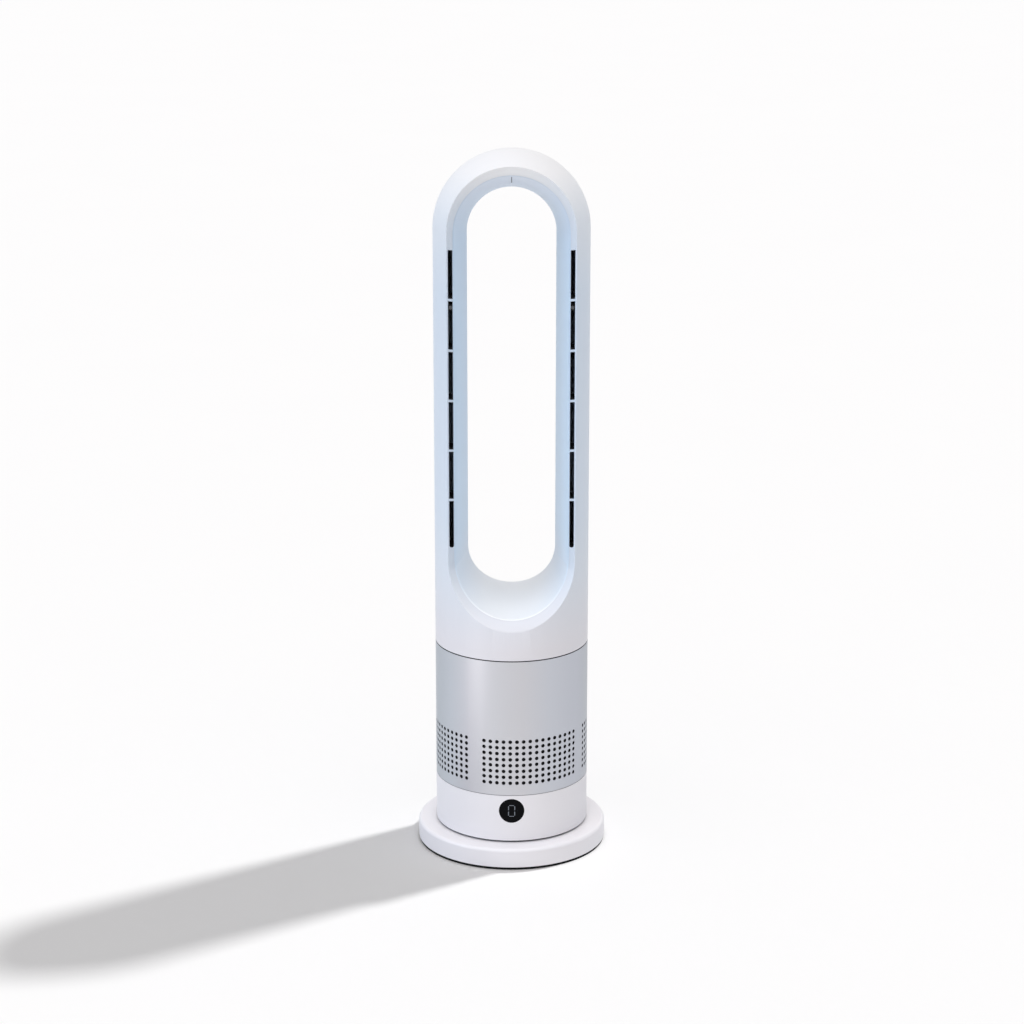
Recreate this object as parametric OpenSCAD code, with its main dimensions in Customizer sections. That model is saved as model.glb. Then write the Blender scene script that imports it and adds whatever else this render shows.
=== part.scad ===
// Bladeless tower fan: a loop head on a perforated sleeve and a collar that swings on a round base.
// The front faces -Y, +Z is up, and the origin is the middle of the base on the floor.

/* [Column] */
// Outside radius of loop, sleeve and collar
column_r = 100; // [96:1:106]
// Height of the collar
collar_h = 62.5; // [60:0.5:75]
// Height of the perforated sleeve with its seams
sleeve_h = 184; // [182:1:220]
// Wall of the perforated sleeve
sleeve_wall = 2; // [1.5:0.1:2.5]
// Seam between collar and sleeve
sleeve_gap = 0.8; // [0.3:0.1:1]
// Shadow gap between sleeve and loop
head_gap = 1.5; // [0.8:0.1:2]
// Wall of the white mouldings
shell_wall = 2.5; // [2:0.1:3]

/* [Base] */
// Radius of the base
base_r = 123.8; // [122:0.2:140]
// Height of the base above the floor
base_h = 28.5; // [27:0.5:36]
// Radius of the rounded top edge
base_edge_r = 4.5; // [3:0.5:8]
// Wall of the base cover
base_wall = 2.8; // [2.2:0.1:3]
// Thickness of the rubber foot ring
foot_h = 3.5; // [2.5:0.5:4]
// Width of the foot ring
foot_w = 14; // [10:1:16]
// How far the foot ring stands back from the cover
foot_inset = 1; // [0.5:0.1:2]
// Thickness of the base plate
plate_t = 2; // [1.5:0.5:2.5]
// Thickness of the steel ballast
ballast_t = 8; // [4:1:9]
// Number of base screws
base_screws_n = 6; // [4:2:6]

/* [Swivel] */
// Gap between base and column
swivel_gap = 2.7; // [2:0.1:4]
// Outside radius of the pivot post
post_r = 14; // [13:0.5:15]
// Radius of the wire hole through the post
post_bore_r = 9; // [8:0.5:9]
// Radial play between post and hub
swivel_fit = 0.05; // [0.02:0.01:0.09]
// Height of the hub on the post
hub_h = 18.8; // [16:0.2:22]
// Gear module
gear_module = 1; // [0.9:0.05:1.1]
// Teeth on the fixed gear
gear_teeth = 48; // [48:2:52]
// Teeth on the pinion
pinion_teeth = 16; // [16:1:18]
// Face width of both gears
gear_t = 7; // [6:0.5:8]
// Radius of the swivel motor's body
swivel_motor_r = 17; // [16:0.5:18]

/* [Display] */
// Radius of the round window
lens_r = 16.5; // [14:0.5:18]
// Height of the window's centre above the collar's lower edge
lens_z = 41.6; // [38:0.2:42]
// Thickness of the window
lens_t = 1.6; // [1.2:0.1:1.8]

/* [Perforations] */
// Radius of one hole
hole_r = 2.5; // [1.5:0.1:2.8]
// Height from row to row
hole_pitch = 8.1; // [7:0.1:9]
// Rows of holes
hole_rows = 8; // [6:1:8]
// Columns of holes in one field
hole_columns = 16; // [8:1:16]
// Angle from column to column
hole_step = 5; // [4:0.1:5]
// Height of the lowest row above the collar
hole_first = 17.6; // [14:0.1:20]
// Angle from the display to the middle of the nearest field
field_turn = 16.5; // [0:0.5:45]

/* [Loop] */
// Height of the loop's straight part, up to the middle of the crown
straight_h = 545.8; // [480:1:600]
// Distance of the opening's rim from the outside
rim_inset = 18.9; // [18:0.1:21]
// Height of the middle of the rim's lower bend above the sleeve
rim_low = 120.5; // [118:0.5:135]
// Height of the middle of the rim's upper bend above the crown's middle
rim_high = 3.7; // [0:0.1:5]
// Width of the bevelled land inside the rim
land_w = 9.1; // [8:0.1:10]
// Depth of the bevelled land
land_depth = 15; // [12:0.5:17]
// How far the land's upper and lower bends are drawn in
land_draw = 3.8; // [3:0.1:4]
// Distance of the throat from the outside, at mid depth
throat_inset = 32.9; // [32.5:0.1:34]
// Width that the throat loses for each unit of depth
throat_taper_share = 0.112; // [0.1:0.002:0.115]
// Height that the throat loses for each unit of depth
throat_fall_share = 0.15; // [0.13:0.01:0.16]
// Drop of the throat's upper bend below the crown's middle, at mid depth
throat_high = 6.6; // [6:0.1:8]
// Drop of the throat's lower bend below the rim's, at mid depth
throat_low = 4.3; // [3:0.1:5]
// Wall of the throat liner
liner_wall = 1.5; // [1.2:0.1:1.7]
// Depth of the seam between the shells, behind the middle
shell_split = 20; // [10:1:30]

/* [Outlet slots] */
// Distance of each slot's middle from the outside
slot_inset = 23; // [22.8:0.1:23.2]
// Width of the slot
slot_w = 5.6; // [4.5:0.1:5.8]
// Height of the slot's foot above the sleeve
slot_low = 138.7; // [135:0.5:160]
// Drop of the slot's top below the crown's middle
slot_high = 19.5; // [15:0.5:40]
// Windows in each slot
slot_windows = 6; // [4:1:8]
// Height of the bridge between two windows
bridge_h = 4.5; // [3:0.5:6]

/* [Fan] */
// Step from the duct in to the inlet
inlet_step = 24; // [23:1:28]
// Radius of the inlet bell's lip
bell_r = 12; // [8:1:13]
// Distance of the duct from the outside
duct_inset = 14; // [13:0.5:16]
// Height of the impeller
impeller_h = 34; // [32:1:35]
// Blades of the impeller
impeller_blades = 9; // [7:1:11]
// Turn of each blade from inlet to outlet
blade_turn = 62; // [40:1:75]
// Gap between blades and shroud
tip_gap = 1.2; // [1:0.1:1.5]
// Vanes of the diffuser
diffuser_vanes = 11; // [7:1:13]
// Width of the duct between pod and wall
duct_w = 26; // [24:1:30]
// Height of the motor pod
pod_h = 31; // [31:0.5:34]
// Radius of the impeller shaft
shaft_r = 4; // [3:0.5:4]
// Radial play of the shaft in its bearings
bearing_fit = 0.03; // [0.02:0.01:0.06]

/* [Hidden] */
$fn = 96;

// Overrun of every cut, and the small plays between pieces of one body
over = 1;
seat = 0.1;
play = 0.3;

// Widths that follow the column
rim_r = column_r - rim_inset;
throat_r = column_r - throat_inset;
slot_x = column_r - slot_inset;
duct_r = column_r - duct_inset;
inlet_r = duct_r - inlet_step;
pod_r = duct_r - duct_w;

// Levels
collar_z = base_h + swivel_gap;
sleeve_z = collar_z + collar_h;
head_z = sleeve_z + sleeve_h;
crown_z = head_z + straight_h;

// Base
plate_z = foot_h;
skirt_r = base_r - base_wall;
plate_r = skirt_r - play;
cover_under = base_h - base_wall;
base_screw_r = 2;
base_boss_r = 4.5;
base_head_r = 3.6;
base_head_h = 1.8;
base_screw_circle = base_r - foot_w - foot_inset - base_boss_r - play;
base_boss_low = plate_z + plate_t;
ballast_out = base_screw_circle - base_boss_r - play;
ballast_in = 45;
base_screw_deep = 12;
rib_t = 1.6;
rib_h = 5;
ribs_n = 12;
pad_t = 3;
pad_under = cover_under - pad_t;
post_flange_r = 40;
post_flange_t = 3;
pad_r = post_flange_r + 2;
post_screw_r = 1.5;
post_screw_deep = 4.5;
post_screw_circle = 32;
post_head_r = 3;
post_head_h = 2;
post_hole_r = post_r + 2 * seat;
post_low = pad_under - post_flange_t;
glide_w = 8;
glide_in = 8;
glide_mid = column_r - glide_in;

// Power socket
socket_w = 12;
socket_d = 13;
socket_nose_r = 5;
socket_bore_r = 3.2;
socket_pin_r = 1.25;
socket_bore = 9;
socket_z = plate_z + plate_t + socket_w / 2 + 2;
socket_flush = 0.8;

// Swivel drive
floor_t = 3;
floor_z = collar_z + floor_t;
hub_z = collar_z + hub_h;
hub_r = post_r + swivel_fit + 4.5;
gear_z = hub_z + play;
gear_screw_r = 1.25;
gear_screw_circle = (post_r + post_bore_r) / 2;
gear_head_r = 2.2;
gear_head_h = 2;
gear_screw_depth = 9;
pressure_angle = 25;
backlash = 0.2;
gear_pitch_r = gear_module * gear_teeth / 2;
pinion_pitch_r = gear_module * pinion_teeth / 2;
pinion_y = gear_pitch_r + pinion_pitch_r + seat;
pinion_shaft_r = 2.5;
pinion_fit = 0.05;
pinion_shaft_deep = 8;
motor_can_offset = 8;
motor_can_gap = 0.6;
motor_can_h = gear_z - floor_z - motor_can_gap;
motor_can_y = pinion_y + motor_can_offset;
motor_ear_x = swivel_motor_r + 4.5;
motor_ear_r = 4;
motor_ear_t = 2;
motor_ear_z = floor_z + 5;
motor_screw_r = 1.5;
motor_screw_head_r = 2.8;
motor_screw_head_h = 1.8;
motor_screw_deep = 6;

// Collar
tongue_t = 2.2;
tongue_h = 6;
seam_deep = 0.7;
collar_in = column_r - shell_wall;
sleeve_in = column_r - sleeve_wall;
tongue_r = sleeve_in - seat;
lens_ledge_r = lens_r - 2.5;
lens_height = collar_z + lens_z;
lens_back = column_r - lens_t;

// Boards
led_w = 12;
led_h = 19;
led_t = 4.3;
digit_w = 8;
digit_h = 14;
segment_w = 1.4;
segment_t = 0.4;
board_t = 1.6;
display_board_w = 34;
display_board_h = 36;
display_board_y = lens_back - led_t - segment_t - board_t - play;
display_post_r = 2.2;
display_post_x = 14;
display_post_z = 15;
board_gear_gap = 12;
board_wall_gap = 18;
control_board_in = gear_pitch_r + board_gear_gap;
control_board_out = column_r - board_wall_gap;
control_board_z = gear_z + gear_t + 4;
control_board_span = 128;
standoff_r = 3.6;
standoff_edge = 8;
standoff_circle = control_board_out - standoff_edge;
standoff_turns = [-52, -22, 22, 52];
capacitor = [26, 8, 18];
inductor = [32, 5, 12];
relay = [22, 18, 14, 12];
chip = [4, 10, 6, 7];
board_screw_r = 1.3;
board_head_r = 2.6;
board_head_h = 1.8;
board_screw_deep = 8;

// Fan
ledge_rise = 82;
ledge_z = sleeve_z + ledge_rise;
ledge_t = 2;
ledge_w = 6;
fan_z = ledge_z + ledge_t;
seal_t = 2;
shroud_t = 2;
flange_t = 2.5;
flange_z = fan_z + seal_t;
bell_drop = 2;
bell_z = fan_z - bell_drop;
inlet_z = bell_z + bell_r;
impeller_rise = 12;
impeller_z = fan_z + impeller_rise;
impeller_top = impeller_z + impeller_h;
pod_gap = 4;
pod_z = impeller_top + pod_gap;
hub_nose_r = 15;
hub_skin = 2.5;
hub_back_r = pod_r - 2;
nose_drop = 8;
hub_nose_z = impeller_z - nose_drop;
hub_boss_r = 9;
blade_t = 1.6;
blade_steps = 6;
blade_root = 1;
vane_t = 1.6;
vane_turn = 24;
pod_wall = 2;
pod_roof_t = 2.5;
diffuser_wall = 2;
diffuser_step = 3;
duct_top = pod_z + pod_h;
socket_play = 0.2;
bearing_r = 11;
bearing_h = 7;
tube_wall = 2.5;
tube_r = bearing_r + tube_wall;
base_disc_t = 2.5;
tube_z = pod_z + base_disc_t;
tube_h = 20;
lower_seat = 0.5;
shoulder_r = 9;
hub_sleeve_r = 6.5;
stator_r = 23;
stator_low = 2;
stator_h = 16;
stator_slots = 9;
magnet_gap = 1;
rotor_wall = 3;
rotor_r = stator_r + magnet_gap + rotor_wall;
rotor_top_t = 2.5;
rotor_hub_r = 8;
rotor_top_z = tube_z + tube_h + play + 1;
motor_boss_r = 4;
motor_boss_h = 20;
motor_boss_circle = pod_r - pod_wall - motor_boss_r + 0.5;
motor_screws_n = 3;
pod_screw_r = 1.5;
pod_head_r = 2.8;
pod_head_h = 1.6;
pod_screw_deep = 10;
nut_r = 7;
nut_h = 5;
shaft_low = hub_nose_z - nut_h - 1.5;
shaft_top = rotor_top_z + rotor_top_t + 0.5;
screen_t = 1.2;
screen_low = sleeve_z + tongue_h;

// Head ring
ring_h = 26;
ring_low = head_z - ring_h / 2;
ring_wall = 4;
ring_up_r = column_r - shell_wall - seat;
ring_down_r = sleeve_in - seat;
ring_lip_r = column_r - 1;
head_screw_r = 1.4;
head_screw_head_r = 2.8;
head_screw_head_h = 1.6;
head_screws_z = head_z + head_gap / 2 + 7;
head_screw_end = column_r - 1;

// Loop
loop_z = head_z + head_gap / 2;
rim_low_z = head_z + rim_low;
rim_high_z = crown_z + rim_high;
land_low_z = rim_low_z + land_draw;
land_high_z = rim_high_z - land_draw;
throat_low_z = rim_low_z - throat_low;
throat_high_z = crown_z - throat_high;
liner_fit = seat;
arc_n = 30;
rim_out_share = -0.2;
rim_in_share = 1.3;
core_r = throat_r - 8;
mark_w = 0.8;
mark_back = 25;

// Slots and guides
slot_low_z = head_z + slot_low;
slot_high_z = crown_z - slot_high;
slot_pitch = (slot_high_z - slot_low_z + bridge_h) / slot_windows;
slot_front = sqrt(pow(column_r, 2) - pow(rim_r, 2)) - land_depth * (rim_r - slot_x) / land_w;
slot_cut = 23.75;
slot_deep = slot_front - slot_cut;
guide_t = 1.2;
guide_front_in = 11.25;
guide_back_in = 35.75;
guide_lip_in = 0.75;
guide_front = slot_front - guide_front_in;
guide_back = slot_front - guide_back_in;
guide_lip = slot_front - guide_lip_in;
guide_flare = 6;
guide_rib_t = 2;
guide_in_gap = 0.4;
boss_z = slot_high_z - slot_pitch - 10.3 - bridge_h / 2;
boss_r = 4;
guide_boss_d = 12;
guide_screw_r = 1.25;
guide_head_r = 2.3;
guide_head_h = 2;
guide_screw_deep = 8;

function mix(a, b, t) = a + (b - a) * t;

// Outline of an opening with two round ends, as x and z
function stadium(r, low, high) = concat(
    [for (i = [0 : arc_n]) let (a = 180 + 180 * i / arc_n) [r * cos(a), low + r * sin(a)]],
    [for (i = [0 : arc_n]) let (a = 180 * i / arc_n) [r * cos(a), high + r * sin(a)]]);

// Solid through a list of rings with equally many points
module loft(rings) {
    n = len(rings[0]);
    last = len(rings) - 1;
    points = [for (ring = rings) for (p = ring) p];
    sides = [for (k = [0 : last - 1]) for (i = [0 : n - 1]) let (j = (i + 1) % n, a = k * n, b = a + n)
             each [[a + i, a + j, b + j], [a + i, b + j, b + i]]];
    front = [for (i = [n - 1 : -1 : 0]) i];
    back = [for (i = [0 : n - 1]) last * n + i];
    polyhedron(points, concat([front, back], sides), convexity = 6);
}

// Outer form of the loop: a column with a round crown, inset by g
module capsule(g) {
    rotate_extrude() intersection() {
        union() {
            translate([0, loop_z - over]) square([column_r - g, crown_z - loop_z + over]);
            translate([0, crown_z]) circle(r = column_r - g);
        }
        translate([0, loop_z - (g > 0 ? over : 0)]) square([column_r, straight_h + 2 * column_r]);
    }
}

// Depth of the column's front at a point of an outline
function front_y(p) = -sqrt(pow(column_r, 2) - pow(p[0], 2) - pow(max(p[1] - crown_z, 0), 2));

// Ring of the throat at depth y, grown by g
function throat_ring(y, g) = let (r = throat_r - throat_taper_share * y + g, fall = throat_fall_share * y)
    [for (p = stadium(r, throat_low_z - fall, throat_high_z - fall)) [p[0], y, p[1]]];

module throat(g) {
    reach = column_r + over;
    loft([throat_ring(-reach, g), throat_ring(reach, g)]);
}

// Ring across the land: t is 0 at the rim and 1 at the land's inner edge
function land_outline(t, g) = stadium(rim_r - t * land_w + g,
    mix(rim_low_z, land_low_z, t), mix(rim_high_z, land_high_z, t));
function land_ring(t, g) = let (
    slope = sqrt(pow(land_w, 2) + pow(land_depth, 2)),
    rim = stadium(rim_r, rim_low_z, rim_high_z),
    here = land_outline(t, g * land_depth / slope))
    [for (i = [0 : len(rim) - 1]) [here[i][0], front_y(rim[i]) + t * land_depth + g * land_w / slope, here[i][1]]];

// Everything in front of the land
module land_cut(g) {
    loft([[for (p = land_ring(rim_out_share, g)) [p[0], -column_r - over, p[2]]],
          land_ring(rim_out_share, g), land_ring(rim_in_share, g),
          [for (p = stadium(core_r, throat_low_z, throat_high_z)) [p[0], 0, p[1]]]]);
}

module behind(y) {
    translate([-column_r - over, y, 0]) cube([2 * column_r + 2 * over, 2 * column_r, crown_z + 2 * column_r]);
}
module before(y) {
    translate([-column_r - over, y - 2 * column_r, 0])
        cube([2 * column_r + 2 * over, 2 * column_r, crown_z + 2 * column_r]);
}

// Ring of screws standing on z: head below or above, shank the other way
module screw(shank_r, shank_l, head_r, head_h) {
    translate([0, 0, -shank_l]) cylinder(r = shank_r, h = shank_l + head_h / 2);
    cylinder(r = head_r, h = head_h);
}
module around(n, circle_r, first = 0) {
    for (i = [0 : n - 1]) rotate([0, 0, first + 360 * i / n]) translate([circle_r, 0, 0]) children();
}
module tube(r_out, r_in, h) {
    difference() {
        cylinder(r = r_out, h = h);
        translate([0, 0, -over]) cylinder(r = r_in, h = h + 2 * over);
    }
}

// Tooth flank of an involute gear
function involute(a) = tan(a) * 180 / PI - a;
function half_tooth(teeth, r, at) = let (base = r * cos(pressure_angle))
    90 / teeth - backlash / r * 45 / PI + involute(pressure_angle) - involute(acos(min(1, base / at)));
function flank_radii(r) = let (base = max(r * cos(pressure_angle), r - gear_module))
    [base, r, r + gear_module];
module gear_outline(teeth) {
    r = gear_module * teeth / 2;
    root = r - 1.25 * gear_module;
    radii = flank_radii(r);
    foot_turn = half_tooth(teeth, r, radii[0]);
    polygon([for (k = [0 : teeth - 1]) let (mid = 360 * k / teeth) for (p = concat(
        [[root, -foot_turn]], [for (q = radii) [q, -half_tooth(teeth, r, q)]],
        [for (i = [2 : -1 : 0]) [radii[i], half_tooth(teeth, r, radii[i])]], [[root, foot_turn]]))
        p[0] * [cos(mid + p[1]), sin(mid + p[1])]]);
}

// Blade between a hub line and a tip line, each from [r, z] to [r, z]
module vane(hub_a, hub_b, tip_a, tip_b, turn, t) {
    loft([for (i = [0 : blade_steps]) let (s = i / blade_steps, hub = mix(hub_a, hub_b, s),
          tip = mix(tip_a, tip_b, s), at = turn * pow(s, 1.3),
          dh = t / hub[0] * 90 / PI, dt = t / tip[0] * 90 / PI)
        [[hub[0] * cos(at - dh), hub[0] * sin(at - dh), hub[1]],
         [hub[0] * cos(at + dh), hub[0] * sin(at + dh), hub[1]],
         [tip[0] * cos(at + dt), tip[0] * sin(at + dt), tip[1]],
         [tip[0] * cos(at - dt), tip[0] * sin(at - dt), tip[1]]]]);
}

// Base: pieces

// Solid round form of the base, inset by g and starting at height z
module base_form(g, z) {
    r = base_r - g;
    h = base_h - g;
    edge = base_edge_r - g;
    rotate_extrude() union() {
        translate([0, z]) square([r - edge, h - z]);
        translate([0, z]) square([r, h - edge - z]);
        translate([r - edge, h - edge]) intersection() { circle(r = edge); square(edge); }
    }
}

module base_cover() color([0.93, 0.93, 0.95]) difference() {
    union() {
        difference() {
            base_form(0, foot_h);
            base_form(base_wall, foot_h - over);
        }
        around(base_screws_n, base_screw_circle)
            translate([0, 0, base_boss_low]) cylinder(r = base_boss_r, h = cover_under - base_boss_low + seat);
        around(ribs_n, 0, 180 / ribs_n)
            translate([post_flange_r, -rib_t / 2, cover_under - rib_h])
                cube([base_screw_circle - base_boss_r - post_flange_r, rib_t, rib_h + seat]);
        translate([0, 0, pad_under]) cylinder(r = pad_r, h = pad_t + seat);
    }
    around(base_screws_n, base_screw_circle)
        translate([0, 0, base_boss_low - over]) cylinder(r = base_screw_r, h = base_screw_deep + over);
    translate([0, 0, pad_under - over]) cylinder(r = post_hole_r, h = base_h - pad_under + 2 * over);
    around(4, post_screw_circle, 45)
        translate([0, 0, pad_under - over]) cylinder(r = post_screw_r, h = post_screw_deep + over);
    translate([0, skirt_r - 3 * over, socket_z]) rotate([-90, 0, 0])
        cylinder(r = socket_nose_r + seat, h = base_wall + 6 * over);
}

module foot_ring() color([0.09, 0.09, 0.1]) tube(base_r - foot_inset, base_r - foot_inset - foot_w, foot_h);

module base_plate() color([0.2, 0.2, 0.22]) difference() {
    translate([0, 0, plate_z]) cylinder(r = plate_r, h = plate_t);
    around(base_screws_n, base_screw_circle)
        translate([0, 0, plate_z - over]) cylinder(r = base_screw_r + play, h = plate_t + 2 * over);
}

module ballast() color([0.45, 0.46, 0.48])
    translate([0, 0, plate_z + plate_t]) tube(ballast_out, ballast_in, ballast_t);

module base_screws() color([0.6, 0.6, 0.62]) around(base_screws_n, base_screw_circle)
    translate([0, 0, plate_z]) mirror([0, 0, 1]) screw(base_screw_r, plate_t + base_screw_deep - over, base_head_r, base_head_h);

module pivot_post() color([0.75, 0.76, 0.78]) difference() {
    union() {
        translate([0, 0, post_low]) cylinder(r = post_flange_r, h = post_flange_t);
        translate([0, 0, post_low]) cylinder(r = post_r, h = gear_z - post_low);
    }
    translate([0, 0, post_low - over]) cylinder(r = post_bore_r, h = gear_z - post_low + 2 * over);
    around(4, post_screw_circle, 45)
        translate([0, 0, post_low - over]) cylinder(r = post_screw_r, h = post_flange_t + 2 * over);
    around(3, gear_screw_circle)
        translate([0, 0, gear_z - gear_screw_depth]) cylinder(r = gear_screw_r, h = gear_screw_depth + over);
}

module post_screws() color([0.6, 0.6, 0.62]) around(4, post_screw_circle, 45)
    translate([0, 0, post_low]) mirror([0, 0, 1])
        screw(post_screw_r, post_flange_t + post_screw_deep - seat, post_head_r, post_head_h);

module glide_ring() color([0.9, 0.9, 0.86]) translate([0, 0, base_h])
    tube(glide_mid + glide_w / 2, glide_mid - glide_w / 2, swivel_gap - play);

module swivel_gear() color([0.92, 0.91, 0.86]) difference() {
    translate([0, 0, gear_z]) linear_extrude(gear_t) gear_outline(gear_teeth);
    translate([0, 0, gear_z - over]) cylinder(r = post_bore_r, h = gear_t + 2 * over);
    around(3, gear_screw_circle)
        translate([0, 0, gear_z - over]) cylinder(r = gear_screw_r, h = gear_t + 2 * over);
}

module gear_screws() color([0.6, 0.6, 0.62]) around(3, gear_screw_circle)
    translate([0, 0, gear_z + gear_t]) screw(gear_screw_r, gear_t + gear_screw_depth - over, gear_head_r, gear_head_h);

module power_socket() color([0.1, 0.1, 0.11]) {
    face = base_r - socket_flush;
    difference() {
        union() {
            translate([-socket_w / 2, skirt_r - over - socket_d, plate_z + plate_t])
                cube([socket_w, socket_d, socket_z - plate_z - plate_t + socket_w / 2]);
            translate([0, skirt_r - 2 * over, socket_z]) rotate([-90, 0, 0])
                cylinder(r = socket_nose_r, h = face - skirt_r + 2 * over);
        }
        translate([0, face - socket_bore, socket_z]) rotate([-90, 0, 0])
            cylinder(r = socket_bore_r, h = socket_bore + over);
    }
    translate([0, face - socket_bore - over, socket_z]) rotate([-90, 0, 0])
        cylinder(r = socket_pin_r, h = socket_bore - over);
}

// Collar and its drive: pieces

module collar() color([0.9, 0.9, 0.93]) difference() {
    union() {
        translate([0, 0, collar_z]) rotate_extrude() polygon([
            [0, 0], [column_r, 0], [column_r, collar_h], [column_r - seam_deep, collar_h],
            [column_r - seam_deep, collar_h + sleeve_gap], [tongue_r, collar_h + sleeve_gap],
            [tongue_r, collar_h + tongue_h], [tongue_r - tongue_t, collar_h + tongue_h],
            [tongue_r - tongue_t, collar_h - tongue_t - over], [collar_in, collar_h - tongue_t - 2 * over],
            [collar_in, floor_t], [hub_r, floor_t], [hub_r, hub_h], [0, hub_h]]);
        for (turn = standoff_turns) rotate([0, 0, turn]) translate([0, -standoff_circle, floor_z - seat])
            cylinder(r = standoff_r, h = control_board_z - floor_z + seat);
        for (x = [-1, 1], z = [-1, 1])
            translate([x * display_post_x, -display_board_y - board_t, lens_height + z * display_post_z])
                rotate([90, 0, 0]) {
                    cylinder(r = display_post_r, h = collar_in - display_board_y - board_t - play);
                    translate([0, 0, -board_t - over]) cylinder(r = board_screw_r - seat, h = board_t + 2 * over);
                }
        for (x = [-1, 1]) translate([x * motor_ear_x, motor_can_y, floor_z - seat])
            cylinder(r = motor_ear_r, h = motor_ear_z - floor_z + seat);
    }
    translate([0, 0, collar_z - over]) cylinder(r = post_r + swivel_fit, h = hub_h + 2 * over);
    intersection() {
        translate([0, 0, lens_height]) rotate([90, 0, 0]) cylinder(r = lens_r + seat, h = column_r + over);
        translate([0, 0, collar_z]) tube(column_r + over, lens_back - seat, collar_h);
    }
    translate([0, -collar_in / 2, lens_height]) rotate([90, 0, 0]) cylinder(r = lens_ledge_r, h = column_r);
    for (turn = standoff_turns) rotate([0, 0, turn])
        translate([0, -standoff_circle, control_board_z - board_screw_deep])
            cylinder(r = board_screw_r, h = board_screw_deep + over);
    for (x = [-1, 1]) translate([x * motor_ear_x, motor_can_y, motor_ear_z - motor_screw_deep])
        cylinder(r = motor_screw_r, h = motor_screw_deep + over);
}

module display_lens() color([0.03, 0.03, 0.04]) intersection() {
    translate([0, 0, lens_height]) rotate([90, 0, 0]) cylinder(r = lens_r, h = column_r + over);
    translate([0, 0, collar_z]) tube(column_r, lens_back, collar_h);
}

// Seven bars of a plain digit on the face of the module
module led_module() color([0.75, 0.78, 0.8]) translate([0, -display_board_y - board_t, lens_height]) {
    translate([-led_w / 2, -led_t, -led_h / 2]) cube([led_w, led_t, led_h]);
    for (z = [-1, 0, 1]) translate([-digit_w / 2 + segment_w, -led_t - segment_t, z * digit_h / 2 - segment_w / 2])
        cube([digit_w - 2 * segment_w, segment_t + over, segment_w]);
    for (x = [-1, 1], z = [-1, 1])
        translate([x * (digit_w - segment_w) / 2 - segment_w / 2, -led_t - segment_t,
                   z * digit_h / 4 - digit_h / 4 + segment_w])
            cube([segment_w, segment_t + over, digit_h / 2 - 2 * segment_w]);
}

module display_board() color([0.1, 0.35, 0.2]) difference() {
    translate([-display_board_w / 2, -display_board_y - board_t, lens_height - display_board_h / 2])
        cube([display_board_w, board_t, display_board_h]);
    for (x = [-1, 1], z = [-1, 1])
        translate([x * display_post_x, -display_board_y + over, lens_height + z * display_post_z])
            rotate([90, 0, 0]) cylinder(r = board_screw_r, h = board_t + 2 * over);
}

module control_board() color([0.1, 0.35, 0.2]) translate([0, 0, control_board_z]) {
    difference() {
        rotate([0, 0, 270 - control_board_span / 2]) rotate_extrude(angle = control_board_span)
            translate([control_board_in, 0]) square([control_board_out - control_board_in, board_t]);
        for (turn = standoff_turns) rotate([0, 0, turn]) translate([0, -standoff_circle, -over])
            cylinder(r = board_screw_r + seat, h = board_t + 2 * over);
    }
    rotate([0, 0, -38]) translate([0, capacitor[0] - control_board_out, board_t - seat])
        cylinder(r = capacitor[1], h = capacitor[2]);
    rotate([0, 0, 37]) translate([0, inductor[0] - control_board_out, board_t - seat])
        cylinder(r = inductor[1], h = inductor[2]);
    translate([-relay[1] / 2, relay[0] - control_board_out, board_t - seat]) cube([relay[1], relay[2], relay[3]]);
    for (turn = [-14, 14]) rotate([0, 0, turn]) translate([-chip[1] / 2, chip[0] - control_board_out, board_t - seat])
        cube([chip[1], chip[2], chip[3]]);
}

module board_screws() color([0.6, 0.6, 0.62]) for (turn = standoff_turns) rotate([0, 0, turn])
    translate([0, -standoff_circle, control_board_z + board_t])
        screw(board_screw_r, board_screw_deep, board_head_r, board_head_h);

module swivel_motor() color([0.7, 0.71, 0.73]) difference() {
    translate([0, motor_can_y, 0]) union() {
        translate([0, 0, floor_z]) cylinder(r = swivel_motor_r, h = motor_can_h);
        for (x = [-1, 1]) translate([x * motor_ear_x, 0, motor_ear_z]) cylinder(r = motor_ear_r, h = motor_ear_t);
        translate([-motor_ear_x, -motor_ear_r, motor_ear_z]) cube([2 * motor_ear_x, 2 * motor_ear_r, motor_ear_t]);
    }
    for (x = [-1, 1]) translate([x * motor_ear_x, motor_can_y, motor_ear_z - over])
        cylinder(r = motor_screw_r, h = motor_ear_t + 2 * over);
    translate([0, pinion_y, floor_z + motor_can_h - pinion_shaft_deep - seat])
        cylinder(r = pinion_shaft_r + pinion_fit, h = pinion_shaft_deep + over + seat);
}

module swivel_motor_screws() color([0.6, 0.6, 0.62]) for (x = [-1, 1])
    translate([x * motor_ear_x, motor_can_y, motor_ear_z + motor_ear_t])
        screw(motor_screw_r, motor_ear_t + motor_screw_deep - seat, motor_screw_head_r, motor_screw_head_h);

module pinion() color([0.92, 0.91, 0.86]) translate([0, pinion_y, gear_z]) difference() {
    rotate([0, 0, -90 + 180 / pinion_teeth]) linear_extrude(gear_t) gear_outline(pinion_teeth);
    translate([0, 0, -over]) cylinder(r = pinion_shaft_r, h = gear_t + 2 * over);
}

module pinion_shaft() color([0.8, 0.8, 0.82])
    translate([0, pinion_y, floor_z + motor_can_h - pinion_shaft_deep])
        cylinder(r = pinion_shaft_r, h = pinion_shaft_deep + motor_can_gap + gear_t);

// Sleeve and fan: pieces

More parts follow.
